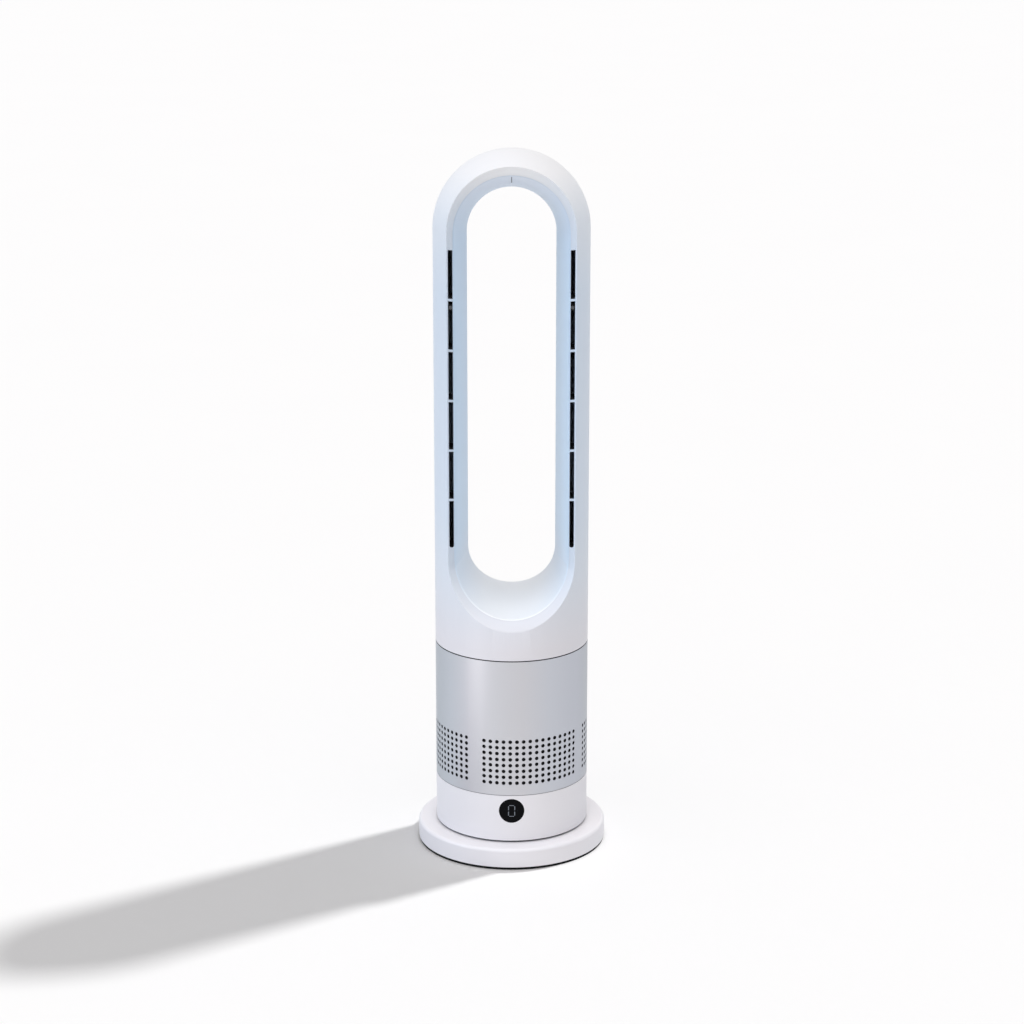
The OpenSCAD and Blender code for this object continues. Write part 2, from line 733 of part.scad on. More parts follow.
module perforated_sleeve() color([0.76, 0.77, 0.79]) difference() {
    bottom = sleeve_z + sleeve_gap;
    top = head_z - head_gap / 2;
    rotate_extrude() polygon([
        [sleeve_in, bottom], [column_r, bottom], [column_r, top], [sleeve_in, top],
        [sleeve_in, fan_z], [sleeve_in - ledge_w, fan_z], [sleeve_in - ledge_w, ledge_z], [sleeve_in, ledge_z]]);
    for (quarter = [0 : 3], c = [0 : hole_columns - 1], row = [0 : hole_rows - 1])
        rotate([0, 0, field_turn + 90 * quarter + hole_step * (c - (hole_columns - 1) / 2)])
            translate([0, -sleeve_in + 2 * over, sleeve_z + hole_first + row * hole_pitch])
                rotate([90, 0, 0]) cylinder(r = hole_r, h = sleeve_wall + 3 * over, $fn = 16);
}

module dust_screen() color([0.06, 0.06, 0.07]) translate([0, 0, screen_low])
    tube(sleeve_in - play, sleeve_in - play - screen_t, ledge_z - screen_low);

module duct_seal() color([0.12, 0.12, 0.13]) translate([0, 0, fan_z])
    tube(sleeve_in - play, sleeve_in - ledge_w, seal_t);

module fan_shroud() color([0.86, 0.86, 0.87]) rotate_extrude() union() {
    difference() {
        translate([inlet_r + bell_r, inlet_z]) circle(r = bell_r);
        translate([inlet_r + bell_r, inlet_z]) circle(r = bell_r - shroud_t);
        translate([inlet_r + bell_r, bell_z - over]) square([bell_r + over, 2 * bell_r + 2 * over]);
        translate([inlet_r - over, inlet_z]) square([2 * bell_r, bell_r + over]);
    }
    polygon([[inlet_r, inlet_z - seat], [inlet_r + shroud_t, inlet_z - seat],
             [duct_r + shroud_t, impeller_top], [duct_r + shroud_t + diffuser_wall, impeller_top],
             [duct_r + shroud_t + diffuser_wall, pod_z + diffuser_step],
             [duct_r + shroud_t, pod_z + diffuser_step], [duct_r + shroud_t, pod_z],
             [duct_r, pod_z], [duct_r, impeller_top]]);
    translate([inlet_r + shroud_t / 2, flange_z]) square([sleeve_in - play - inlet_r - shroud_t / 2, flange_t]);
}

module impeller() color([0.15, 0.16, 0.17]) union() {
    rotate_extrude() polygon([
        [shaft_r, hub_nose_z], [hub_boss_r, hub_nose_z], [hub_nose_r, hub_nose_z + over],
        [hub_nose_r + hub_skin, impeller_z - over], [hub_back_r, impeller_top + over],
        [hub_back_r, impeller_top + 2 * over], [hub_back_r - hub_skin, impeller_top + 2 * over],
        [hub_nose_r, impeller_z + 2 * hub_skin],
        [hub_boss_r, impeller_z + 2 * hub_skin], [hub_boss_r, impeller_top], [hub_sleeve_r, impeller_top],
        [hub_sleeve_r, pod_z + lower_seat - play], [shaft_r, pod_z + lower_seat - play]]);
    for (i = [0 : impeller_blades - 1]) rotate([0, 0, 360 * i / impeller_blades])
        vane([hub_nose_r + hub_skin - blade_root, impeller_z], [hub_back_r - blade_root, impeller_top],
             [inlet_r - tip_gap, impeller_z], [duct_r - 2 * tip_gap, impeller_top], blade_turn, blade_t);
}

module impeller_shaft() color([0.8, 0.8, 0.82]) translate([0, 0, shaft_low])
    cylinder(r = shaft_r, h = shaft_top - shaft_low);

module impeller_nut() color([0.6, 0.6, 0.62]) translate([0, 0, hub_nose_z - nut_h]) difference() {
    cylinder(r = nut_r, h = nut_h, $fn = 6);
    translate([0, 0, -over]) cylinder(r = shaft_r, h = nut_h + 2 * over);
}

module diffuser() color([0.86, 0.86, 0.87]) difference() {
    union() {
        translate([0, 0, pod_z + seat]) tube(duct_r + shroud_t - socket_play, duct_r - seat, pod_h - seat);
        translate([0, 0, pod_z + seat]) rotate_extrude() polygon([
            [pod_r - pod_wall, 0], [pod_r, 0], [pod_r, pod_h - pod_roof_t - 4], [pod_r - 6, pod_h],
            [0, pod_h], [0, pod_h - pod_roof_t], [pod_r - 8, pod_h - pod_roof_t],
            [pod_r - pod_wall, pod_h - pod_roof_t - 5]]);
        around(motor_screws_n, motor_boss_circle, 30) translate([0, 0, tube_z + seat])
            cylinder(r = motor_boss_r, h = motor_boss_h);
        for (i = [0 : diffuser_vanes - 1]) rotate([0, 0, 360 * i / diffuser_vanes])
            vane([pod_r - blade_root, pod_z + over], [pod_r - blade_root, pod_z + pod_h - 8],
                 [duct_r + over / 2, pod_z + over], [duct_r + over / 2, pod_z + pod_h - 8], -vane_turn, vane_t);
    }
    around(motor_screws_n, motor_boss_circle, 30) translate([0, 0, tube_z - over])
        cylinder(r = pod_screw_r, h = pod_screw_deep + over);
}

module motor_base() color([0.7, 0.71, 0.73]) difference() {
    union() {
        translate([0, 0, pod_z]) cylinder(r = pod_r - pod_wall - play, h = base_disc_t);
        translate([0, 0, pod_z]) cylinder(r = tube_r, h = base_disc_t + tube_h);
    }
    translate([0, 0, pod_z - over]) cylinder(r = shoulder_r, h = base_disc_t + tube_h + 2 * over);
    translate([0, 0, pod_z - over]) cylinder(r = bearing_r, h = lower_seat + bearing_h + over);
    translate([0, 0, tube_z + tube_h - bearing_h]) cylinder(r = bearing_r, h = bearing_h + over);
    around(motor_screws_n, motor_boss_circle, 30)
        translate([0, 0, pod_z - over]) cylinder(r = pod_screw_r, h = base_disc_t + 2 * over);
}

module motor_screws() color([0.6, 0.6, 0.62]) around(motor_screws_n, motor_boss_circle, 30)
    translate([0, 0, pod_z]) mirror([0, 0, 1])
        screw(pod_screw_r, base_disc_t + pod_screw_deep - over, pod_head_r, pod_head_h);

module bearing() color([0.8, 0.8, 0.82]) difference() {
    cylinder(r = bearing_r, h = bearing_h);
    translate([0, 0, -over]) cylinder(r = shaft_r + bearing_fit, h = bearing_h + 2 * over);
    for (z = [-over, bearing_h - 0.6]) translate([0, 0, z]) tube(bearing_r - 2, shaft_r + 2, over + 0.6);
}
module lower_bearing() translate([0, 0, pod_z + lower_seat]) bearing();
module upper_bearing() translate([0, 0, tube_z + tube_h - bearing_h]) bearing();

module motor_stator() color([0.7, 0.42, 0.2]) translate([0, 0, tube_z + stator_low]) difference() {
    cylinder(r = stator_r, h = stator_h);
    translate([0, 0, -over]) cylinder(r = tube_r + seat, h = stator_h + 2 * over);
    around(stator_slots, stator_r - 2.5) translate([0, 0, -over]) cylinder(r = 2, h = stator_h + 2 * over);
}

module motor_rotor() color([0.5, 0.51, 0.53]) rotate_extrude() polygon([
    [shaft_r, rotor_top_z - 1], [rotor_hub_r, rotor_top_z - 1], [rotor_hub_r, rotor_top_z],
    [rotor_r - rotor_wall, rotor_top_z], [rotor_r - rotor_wall, tube_z + stator_low],
    [rotor_r, tube_z + stator_low], [rotor_r, rotor_top_z + rotor_top_t], [shaft_r, rotor_top_z + rotor_top_t]]);

// Loop: pieces

module head_ring() color([0.25, 0.26, 0.28]) difference() {
    rotate_extrude() polygon([
        [ring_down_r - ring_wall, ring_low], [ring_down_r, ring_low], [ring_down_r, head_z - head_gap / 2],
        [ring_lip_r, head_z - head_gap / 2], [ring_lip_r, head_z + head_gap / 2],
        [ring_up_r, head_z + head_gap / 2], [ring_up_r, ring_low + ring_h],
        [ring_down_r - ring_wall, ring_low + ring_h]]);
    around(4, 0, 45) translate([0, 0, head_screws_z]) rotate([0, 90, 0]) cylinder(r = head_screw_r, h = column_r);
}

module head_screws() color([0.6, 0.6, 0.62]) around(4, 0, 45)
    translate([ring_down_r - ring_wall - seat, 0, head_screws_z]) rotate([0, -90, 0])
        screw(head_screw_r, head_screw_end - ring_down_r + ring_wall, head_screw_head_r, head_screw_head_h);

module head_screw_holes() around(4, 0, 45)
    translate([ring_up_r - over, 0, head_screws_z]) rotate([0, 90, 0])
        cylinder(r = head_screw_r, h = head_screw_end - ring_up_r + over + seat);

module slot_windows_cut() for (side = [-1, 1], k = [0 : slot_windows - 1])
    translate([side * slot_x, -slot_deep, slot_low_z + k * slot_pitch]) rotate([90, 0, 0])
        linear_extrude(column_r + over - slot_deep) union() {
            foot = k == 0 ? slot_w / 2 : 0;
            translate([-slot_w / 2, foot]) square([slot_w, slot_pitch - bridge_h - foot]);
            if (k == 0) translate([0, foot]) circle(r = slot_w / 2);
        }

module loop_front_shell() color([0.92, 0.93, 0.96]) difference() {
    capsule(0);
    difference() {
        capsule(shell_wall);
        land_cut(shell_wall);
    }
    land_cut(0);
    throat(liner_wall + liner_fit);
    behind(shell_split);
    slot_windows_cut();
    head_screw_holes();
}

module loop_rear_shell() color([0.92, 0.93, 0.96]) difference() {
    union() {
        difference() {
            capsule(0);
            capsule(shell_wall);
            throat(liner_wall + liner_fit);
            before(shell_split + seat);
        }
        for (side = [-1, 1]) intersection() {
            translate([side * slot_x, -guide_back, boss_z]) rotate([-90, 0, 0]) cylinder(r = boss_r, h = column_r);
            capsule(shell_wall / 2);
        }
    }
    for (side = [-1, 1]) translate([side * slot_x, -guide_back - over, boss_z]) rotate([-90, 0, 0])
        cylinder(r = guide_screw_r, h = guide_screw_deep + over + seat);
    head_screw_holes();
}

module throat_liner() color([0.88, 0.9, 0.94]) difference() {
    intersection() {
        throat(liner_wall);
        capsule(0);
    }
    throat(0);
    land_cut(0);
    translate([-mark_w / 2, -column_r, throat_high_z]) cube([mark_w, column_r + mark_back, column_r]);
}

// Black channel behind one row of slots
module outlet_guide(side) {
    low = slot_low_z - guide_rib_t;
    height = slot_high_z - slot_low_z + 2 * guide_rib_t;
    function liner_x(y) = throat_r - throat_taper_share * y + liner_wall + guide_in_gap;
    lip_x = slot_x + slot_w / 2 + play;
    function lip_at(y) = lip_x + guide_flare * (y + guide_lip) / (guide_lip - guide_back);
    module channel(y) polygon([
        [liner_x(y) + guide_t / 2, y], [lip_at(y) + guide_t / 2, y],
        [lip_at(-guide_back) + guide_t / 2, -guide_back], [liner_x(-guide_back) + guide_t / 2, -guide_back]]);
    mirror([side < 0 ? 1 : 0, 0, 0]) difference() {
        union() {
            translate([0, 0, low]) linear_extrude(height) polygon([
                [liner_x(-guide_front), -guide_front], [liner_x(-guide_front) + guide_t, -guide_front],
                [liner_x(-guide_back) + guide_t, -guide_back], [liner_x(-guide_back), -guide_back]]);
            translate([0, 0, low]) linear_extrude(height) polygon([
                [lip_x, -guide_lip], [lip_x + guide_t, -guide_lip],
                [lip_x + guide_t + guide_flare, -guide_back], [lip_x + guide_flare, -guide_back]]);
            for (k = [0 : slot_windows])
                translate([0, 0, slot_low_z + k * slot_pitch - bridge_h / 2 - guide_rib_t / 2])
                    linear_extrude(guide_rib_t) channel(-guide_front);
            translate([0, 0, boss_z - boss_r]) linear_extrude(2 * boss_r) channel(-guide_back - guide_boss_d);
        }
        translate([slot_x, -guide_back + over, boss_z]) rotate([90, 0, 0])
            cylinder(r = guide_screw_r, h = guide_boss_d + 2 * over);
    }
}
module outlet_guide_left() color([0.05, 0.05, 0.06]) outlet_guide(-1);
module outlet_guide_right() color([0.05, 0.05, 0.06]) outlet_guide(1);

module guide_screws() color([0.6, 0.6, 0.62]) for (side = [-1, 1])
    translate([side * slot_x, -guide_back - guide_boss_d, boss_z]) rotate([90, 0, 0])
        screw(guide_screw_r, guide_boss_d + guide_screw_deep, guide_head_r, guide_head_h);

base_cover();
foot_ring();
base_plate();
ballast();
base_screws();
pivot_post();
post_screws();
glide_ring();
swivel_gear();
gear_screws();
power_socket();
collar();
display_lens();
led_module();
display_board();
control_board();
board_screws();
swivel_motor();
swivel_motor_screws();
perforated_sleeve();
dust_screen();
duct_seal();
fan_shroud();
diffuser();
motor_base();
motor_stator();
lower_bearing();
upper_bearing();
motor_screws();
head_ring();
head_screws();
loop_front_shell();
loop_rear_shell();
throat_liner();
outlet_guide_left();
outlet_guide_right();
guide_screws();
impeller();
impeller_shaft();
motor_rotor();
impeller_nut();
pinion();
pinion_shaft();
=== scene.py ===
"""Looks of a bladeless tower fan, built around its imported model.

The loop head is modelled here with finely rounded edges in place of the faceted solids. The other
solids stay and get their finishes. Everything is in metres, the front faces -Y and +Z is up.
"""

from __future__ import annotations

import logging
import math
from dataclasses import dataclass
from enum import Enum
from typing import Any, Callable, Sequence

import bmesh
import bpy
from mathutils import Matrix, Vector

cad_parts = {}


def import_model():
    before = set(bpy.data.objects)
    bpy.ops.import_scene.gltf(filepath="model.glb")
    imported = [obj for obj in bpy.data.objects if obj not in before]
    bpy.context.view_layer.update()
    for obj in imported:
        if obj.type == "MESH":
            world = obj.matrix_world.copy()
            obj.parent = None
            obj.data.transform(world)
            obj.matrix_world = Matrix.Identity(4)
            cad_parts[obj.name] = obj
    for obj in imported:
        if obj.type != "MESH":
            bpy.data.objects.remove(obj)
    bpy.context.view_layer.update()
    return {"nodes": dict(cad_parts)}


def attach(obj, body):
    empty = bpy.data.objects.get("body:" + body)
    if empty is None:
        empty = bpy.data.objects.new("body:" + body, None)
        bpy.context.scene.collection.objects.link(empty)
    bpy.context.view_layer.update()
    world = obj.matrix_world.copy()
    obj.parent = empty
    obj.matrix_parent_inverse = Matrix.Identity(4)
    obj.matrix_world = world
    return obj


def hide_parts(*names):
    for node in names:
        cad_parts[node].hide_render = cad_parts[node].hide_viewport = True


LOG = logging.getLogger("bladeless_fan")
MM = 0.001
SLOW_SCALE = 9.0  # repeats a metre of a finish's slow drift
FINE_SHARE = 0.3  # share of the grain in a finish's drift, against the slow part
FINE_ROUGH, SLOW_ROUGH, GLOW_ROUGH = 0.08, 0.06, 0.10  # spread of the roughness by grain, drift and glow
GRAIN_STRENGTH = 0.25
MERGE = 1e-7  # points closer than this are one
TOUCH = 1e-6  # points closer than this to a plane lie in it
ON_LINE = 0.05 * MM  # points closer than this to an outline lie on it
ROD_SIDES = 48
Point = tuple[float, float, float]
Colour = tuple[float, float, float]


class Pick(Enum):
    """What a selection in edit mode takes."""

    VERTS = "VERT"
    EDGES = "EDGE"


class Along(Enum):
    """Which way a finish's painted light and shade change over a piece."""

    HEIGHT = "metres above the floor"
    ROUND = "degrees round the column, 0 at the front, positive towards +X"


# Shader wrappers


class Socket:
    """A value socket with Python's operators, so that shader maths reads as an expression."""

    def __init__(self, nodes: "Nodes", out: bpy.types.NodeSocket) -> None:
        """Args: nodes: the tree that the socket is in; out: the output socket."""
        self.nodes = nodes
        self.out = out

    def _maths(self, operation: str, *values: Any) -> "Socket":
        """Adds a Math node.

        Args:
            operation: the node's operation.
            values: sockets or numbers for its inputs.

        Returns:
            The node's result.
        """
        return self.nodes.add("ShaderNodeMath", {"operation": operation}, dict(enumerate(values)))

    def __add__(self, other: Any) -> "Socket":
        """Sum."""
        return self._maths("ADD", self, other)

    __radd__ = __add__

    def __mul__(self, other: Any) -> "Socket":
        """Product."""
        return self._maths("MULTIPLY", self, other)

    __rmul__ = __mul__

    def __gt__(self, other: Any) -> "Socket":
        """1 where greater."""
        return self._maths("GREATER_THAN", self, other)

    def clamped(self) -> "Socket":
        """Limited to 0..1."""
        return self.nodes.add("ShaderNodeClamp", {}, {"Value": self})

    def power(self, exponent: float) -> "Socket":
        """Raised to a power."""
        return self._maths("POWER", self, exponent)

    def angle_from(self, other: "Socket") -> "Socket":
        """Angle of this over another, in radians."""
        return self._maths("ARCTAN2", self, other)


def opaque(colour: Any) -> Any:
    """A colour with full alpha; a socket stays as it is."""
    return (*colour, 1.0) if isinstance(colour, tuple) else colour


class Nodes:
    """A material's or world's node tree."""

    def __init__(self, tree: bpy.types.NodeTree) -> None:
        """Args: tree: the tree, which is emptied."""
        self.tree = tree
        tree.nodes.clear()

    def node(self, kind: str, settings: dict[str, Any], inputs: dict[Any, Any]) -> bpy.types.Node:
        """Adds one node.

        Args:
            kind: the node's type.
            settings: its properties; "stops" holds a ramp's positions and colours.
            inputs: values or sockets by input name or number.

        Returns:
            The node.
        """
        made = self.tree.nodes.new(kind)
        for name, value in settings.items():
            if name == "stops":
                self._stops(made.color_ramp, value)
            else:
                setattr(made, name, value)
        for name, value in inputs.items():
            target = made.inputs[name]
            if isinstance(value, Socket):
                self.tree.links.new(value.out, target)
            elif isinstance(value, bpy.types.NodeSocket):
                self.tree.links.new(value, target)
            else:
                target.default_value = value
        return made

    @staticmethod
    def _stops(ramp: bpy.types.ColorRamp, stops: Sequence[tuple[float, Colour]]) -> None:
        """Sets a ramp's stops."""
        while len(ramp.elements) < len(stops):
            ramp.elements.new(0.5)
        for element, (position, colour) in zip(ramp.elements, stops):
            element.position = position
            element.color = opaque(colour)

    def add(self, kind: str, settings: dict[str, Any], inputs: dict[Any, Any],
            output: Any = 0) -> Socket:
        """Adds a node and returns one of its outputs."""
        return Socket(self, self.node(kind, settings, inputs).outputs[output])

    def place(self, kind: str = "Object") -> bpy.types.NodeSocket:
        """The shaded point in the object's coordinates, or in another kind."""
        return self.node("ShaderNodeTexCoord", {}, {}).outputs[kind]

    def axes(self, kind: str = "Object") -> list[Socket]:
        """The X, Y and Z of the shaded point."""
        split = self.node("ShaderNodeSeparateXYZ", {}, {0: self.place(kind)})
        return [Socket(self, out) for out in split.outputs]

    def reach(self) -> Socket:
        """Distance of the shaded point from the Z axis."""
        across, deep, _ = self.axes()
        return (across * across + deep * deep).power(0.5)

    def noise(self, scale: float, detail: float = 2.0, stretch: Point = (1.0, 1.0, 1.0)) -> Socket:
        """Noise over the object.

        Args:
            scale: size of the pattern, in repeats a metre.
            detail: octaves.
            stretch: scale along each axis.

        Returns:
            The noise's value, around 0.5.
        """
        place = self.place()
        if stretch != (1.0, 1.0, 1.0):
            place = self.node("ShaderNodeMapping", {}, {"Vector": place, "Scale": stretch}).outputs[0]
        inputs = {"Vector": place, "Scale": scale, "Detail": detail}
        return self.add("ShaderNodeTexNoise", {}, inputs, "Fac")

    def blend(self, factor: Any, low: Any, high: Any, way: str = "MIX") -> bpy.types.NodeSocket:
        """Mixes two colours by a value.

        Args:
            factor: a number or socket, 0 for the first colour and 1 for the second.
            low: the first colour, or a socket.
            high: the second colour, or a socket.
            way: the node's way of mixing.

        Returns:
            The mixed colour.
        """
        return self.node("ShaderNodeMix", {"data_type": "RGBA", "blend_type": way},
                         {0: factor, 6: opaque(low), 7: opaque(high)}).outputs[2]

    def stained(self, colour: Any, tone: Socket, share: float) -> bpy.types.NodeSocket:
        """Makes a colour darker and lighter by a share as a value goes from 0 to 1."""
        grey = self.blend(tone, (1 - share,) * 3, (1 + share,) * 3)
        return self.blend(1.0, colour, grey, "MULTIPLY")

    def along(self, way: Along, stops: Sequence[tuple[float, Colour]]) -> bpy.types.NodeSocket:
        """A colour that changes over the piece, which paints light and shade on it.

        Args:
            way: up the piece or round it.
            stops: places and the colour at each.

        Returns:
            The colour.
        """
        across, deep, where = self.axes()
        if way is Along.ROUND:
            where = across.angle_from(deep * -1.0) * (0.5 / math.pi) + 0.5
            stops = [(place / 360.0 + 0.5, colour) for place, colour in stops]
        return self.node("ShaderNodeValToRGB", {"stops": stops}, {0: where}).outputs[0]

    def bump(self, height: Socket, strength: float, distance: float) -> bpy.types.NodeSocket:
        """Turns a height into a normal."""
        return self.node("ShaderNodeBump", {}, {"Height": height, "Strength": strength,
                                                "Distance": distance}).outputs["Normal"]


def shade(colour: Colour, share: float) -> Colour:
    """A colour made lighter or darker by a share."""
    return (colour[0] * share, colour[1] * share, colour[2] * share)


@dataclass(frozen=True)
class Finish:
    """A surface finish with a fine grain and slow variation, as mouldings and painted parts have.

    Attributes:
        name: the material's name.
        colour: base colour.
        roughness: mean roughness.
        metallic: 0 for plastics, up to 1 for bare metal.
        drift: share by which the colour drifts over the piece.
        grain: size of the grain, in repeats a metre.
        grain_depth: depth of the grain's bump in metres.
        streak: stretch of the grain along each axis, for turned or brushed metal.
        coat: strength of a clear coat.
        gloss: level of the surface reflection, 0.5 for a common plastic.
        way: which way the painted light and shade change over the piece.
        stops: places along that way and the colour at each, which paint light and shade on the piece.
        painted_shade_r: radius about Z inside which the piece takes a painted shade, for the shade in its
            holes, seams and inner side, 0 for none.
        inside: the colour of that painted shade.
    """

    name: str
    colour: Colour
    roughness: float
    metallic: float = 0.0
    drift: float = 0.012
    grain: float = 2600.0
    grain_depth: float = 0.00002
    streak: Point = (1.0, 1.0, 1.0)
    coat: float = 0.0
    gloss: float = 0.5
    way: Along = Along.HEIGHT
    stops: tuple[tuple[float, Colour], ...] = ()
    # Radius and colour of a painted shade inside the piece, for its holes and seams.
    painted_shade_r: float = 0.0
    inside: Colour = (0.01, 0.01, 0.012)

    def material(self) -> bpy.types.Material:
        """Makes the material.

        Returns:
            The material, with its nodes.
        """
        made = bpy.data.materials.new(self.name)
        made.use_nodes = True
        nodes = Nodes(made.node_tree)
        slow = nodes.noise(SLOW_SCALE)
        fine = nodes.noise(self.grain, 3.0, self.streak)
        tone = (slow * (1 - FINE_SHARE) + fine * FINE_SHARE).clamped()
        # The stops, where given, paint light and shade on the piece in place of one colour.
        base = nodes.along(self.way, self.stops) if self.stops else self.colour
        colour = nodes.stained(base, tone, self.drift)
        # Inside the radius the piece takes a painted shade, for the shade in its holes and seams.
        if self.painted_shade_r:
            colour = nodes.blend(nodes.reach() > self.painted_shade_r, self.inside, colour)
        least = self.roughness - (FINE_ROUGH + SLOW_ROUGH) / 2
        shader = nodes.node("ShaderNodeBsdfPrincipled", {}, {
            "Base Color": colour,
            "Roughness": fine * FINE_ROUGH + slow * SLOW_ROUGH + least,
            "Metallic": self.metallic,
            "Coat Weight": self.coat,
            "Specular IOR Level": self.gloss,
            "Normal": nodes.bump(fine, GRAIN_STRENGTH, self.grain_depth),
        })
        nodes.node("ShaderNodeOutputMaterial", {}, {"Surface": shader.outputs[0]})
        return made


@dataclass(frozen=True)
class GlowFinish:
    """A lit bar behind glass.

    Attributes:
        name: the material's name.
        colour: its colour.
        strength: how bright it glows.
        roughness: mean roughness.
        grain: size of its unevenness, in repeats a metre.
        dark, dim: shares of the colour and of the glow that are left at its darkest.
    """

    name: str
    colour: Colour
    strength: float
    roughness: float = 0.35
    grain: float = 420.0
    dark: float = 0.7
    dim: float = 0.55

    def material(self) -> bpy.types.Material:
        """Makes the material.

        Returns:
            The material, with its nodes.
        """
        made = bpy.data.materials.new(self.name)
        made.use_nodes = True
        nodes = Nodes(made.node_tree)
        uneven = nodes.noise(self.grain)
        shader = nodes.node("ShaderNodeBsdfPrincipled", {}, {
            "Base Color": nodes.blend(uneven, shade(self.colour, self.dark), self.colour),
            "Roughness": uneven * GLOW_ROUGH + (self.roughness - GLOW_ROUGH / 2),
            "Emission Color": nodes.blend(uneven, shade(self.colour, self.dim), self.colour),
            "Emission Strength": self.strength,
        })
        nodes.node("ShaderNodeOutputMaterial", {}, {"Surface": shader.outputs[0]})
        return made


class Paints:
    """Every finish of the fan, made once."""

    # Painted light and shade by height: the loop's sides darker and bluer, its foot and crown lighter.
    head_white_painted_shade = Finish("head_white_moulding", (0.71, 0.75, 0.80), 0.42, stops=(
        (0.29, (0.70, 0.68, 0.705)), (0.38, (0.66, 0.70, 0.755)), (0.46, (0.62, 0.685, 0.765)),
        (0.75, (0.61, 0.68, 0.765)), (0.84, (0.70, 0.735, 0.78)), (0.90, (0.83, 0.82, 0.82))))
    # Painted light and shade by height: the throat's walls darker and bluer, its floor lighter.
    throat_white_painted_shade = Finish("throat_white_moulding", (0.64, 0.74, 0.84), 0.42, stops=(
        (0.335, (0.85, 0.86, 0.875)), (0.37, (0.69, 0.755, 0.83)), (0.42, (0.615, 0.735, 0.845)),
        (0.80, (0.595, 0.725, 0.85)), (0.875, (0.655, 0.705, 0.785)), (0.90, (0.655, 0.705, 0.785))))
    base_white = Finish("base_white_moulding", (0.76, 0.74, 0.76), 0.42)
    # Painted shade inside the radius: a grey line in the seam under the sleeve.
    collar_white_painted_seam_shade = Finish("collar_white_moulding", (0.76, 0.74, 0.76), 0.42, painted_shade_r=99.6 * MM,
                          inside=(0.20, 0.195, 0.22))
    # Painted light and shade round the column: lighter at the front and back, darker bands towards the
    # sides; inside the radius, painted shade in the holes and on the inner side.
    silver_painted_light = Finish("satin_silver_paint", (0.55, 0.55, 0.58), 0.40, metallic=0.5, drift=0.02,
                    grain=1500.0, way=Along.ROUND, painted_shade_r=99.6 * MM, stops=(
                        (-180, (0.55, 0.555, 0.58)), (-130, (0.50, 0.52, 0.56)),
                        (-75, (0.405, 0.44, 0.48)), (-52, (0.49, 0.515, 0.555)),
                        (-33, (0.545, 0.54, 0.57)), (-12, (0.575, 0.575, 0.60)),
                        (8, (0.57, 0.565, 0.59)), (30, (0.54, 0.555, 0.60)),
                        (58, (0.50, 0.515, 0.565)), (82, (0.42, 0.445, 0.48)),
                        (125, (0.58, 0.58, 0.60)), (180, (0.55, 0.555, 0.58))))
    black_window = Finish("black_window", (0.003, 0.003, 0.004), 0.15, drift=0.2, grain=600.0,
                          grain_depth=0.000002, gloss=0.05)
    black_plastic = Finish("black_channel_moulding", (0.02, 0.021, 0.024), 0.5, drift=0.15)
    rubber = Finish("black_rubber", (0.006, 0.006, 0.007), 0.8, drift=0.2, grain=1800.0,
                    grain_depth=0.00006, gloss=0.15)
    dark_ring = Finish("dark_ring_moulding", (0.012, 0.012, 0.016), 0.6, drift=0.1, gloss=0.25)
    seal_grey = Finish("parting_strip_grey", (0.10, 0.11, 0.13), 0.6, drift=0.1)
    duct_white = Finish("duct_moulding", (0.74, 0.74, 0.76), 0.5)
    slide_black = Finish("slippery_black_moulding", (0.010, 0.010, 0.012), 0.5, drift=0.1, gloss=0.3)
    slide_cream = Finish("slippery_moulding", (0.80, 0.78, 0.70), 0.4)
    fan_black = Finish("filled_fan_moulding", (0.045, 0.048, 0.052), 0.55, drift=0.12)
    screen = Finish("screen_cloth", (0.006, 0.006, 0.007), 0.9, drift=0.3, grain=900.0,
                    grain_depth=0.0001)
    board = Finish("board_lacquer", (0.02, 0.12, 0.045), 0.3, drift=0.15, grain=500.0)
    iron = Finish("ballast_casting", (0.25, 0.255, 0.27), 0.6, metallic=0.9, drift=0.12, grain=700.0,
                  grain_depth=0.00008)
    zinc = Finish("zinc_screw", (0.6, 0.6, 0.62), 0.35, metallic=1.0, drift=0.06)
    dark_zinc = Finish("dark_zinc_screw", (0.27, 0.275, 0.29), 0.45, metallic=1.0, drift=0.06)
    ground = Finish("ground_steel", (0.68, 0.68, 0.7), 0.22, metallic=1.0, drift=0.04,
                    streak=(1.0, 1.0, 0.02))
    can = Finish("plated_can", (0.55, 0.56, 0.58), 0.3, metallic=1.0, drift=0.05, streak=(1.0, 1.0, 0.1))
    cast = Finish("cast_aluminium", (0.6, 0.61, 0.63), 0.48, metallic=1.0, drift=0.05, grain=900.0,
                  grain_depth=0.00005)
    copper = Finish("lacquered_copper", (0.62, 0.29, 0.12), 0.35, metallic=0.9, drift=0.15, grain=800.0,
                    streak=(1.0, 1.0, 4.0))
    led = Finish("pale_digit_bars", (0.62, 0.66, 0.68), 0.35)
    digit = GlowFinish("dim_digit", (0.16, 0.18, 0.21), 0.10)


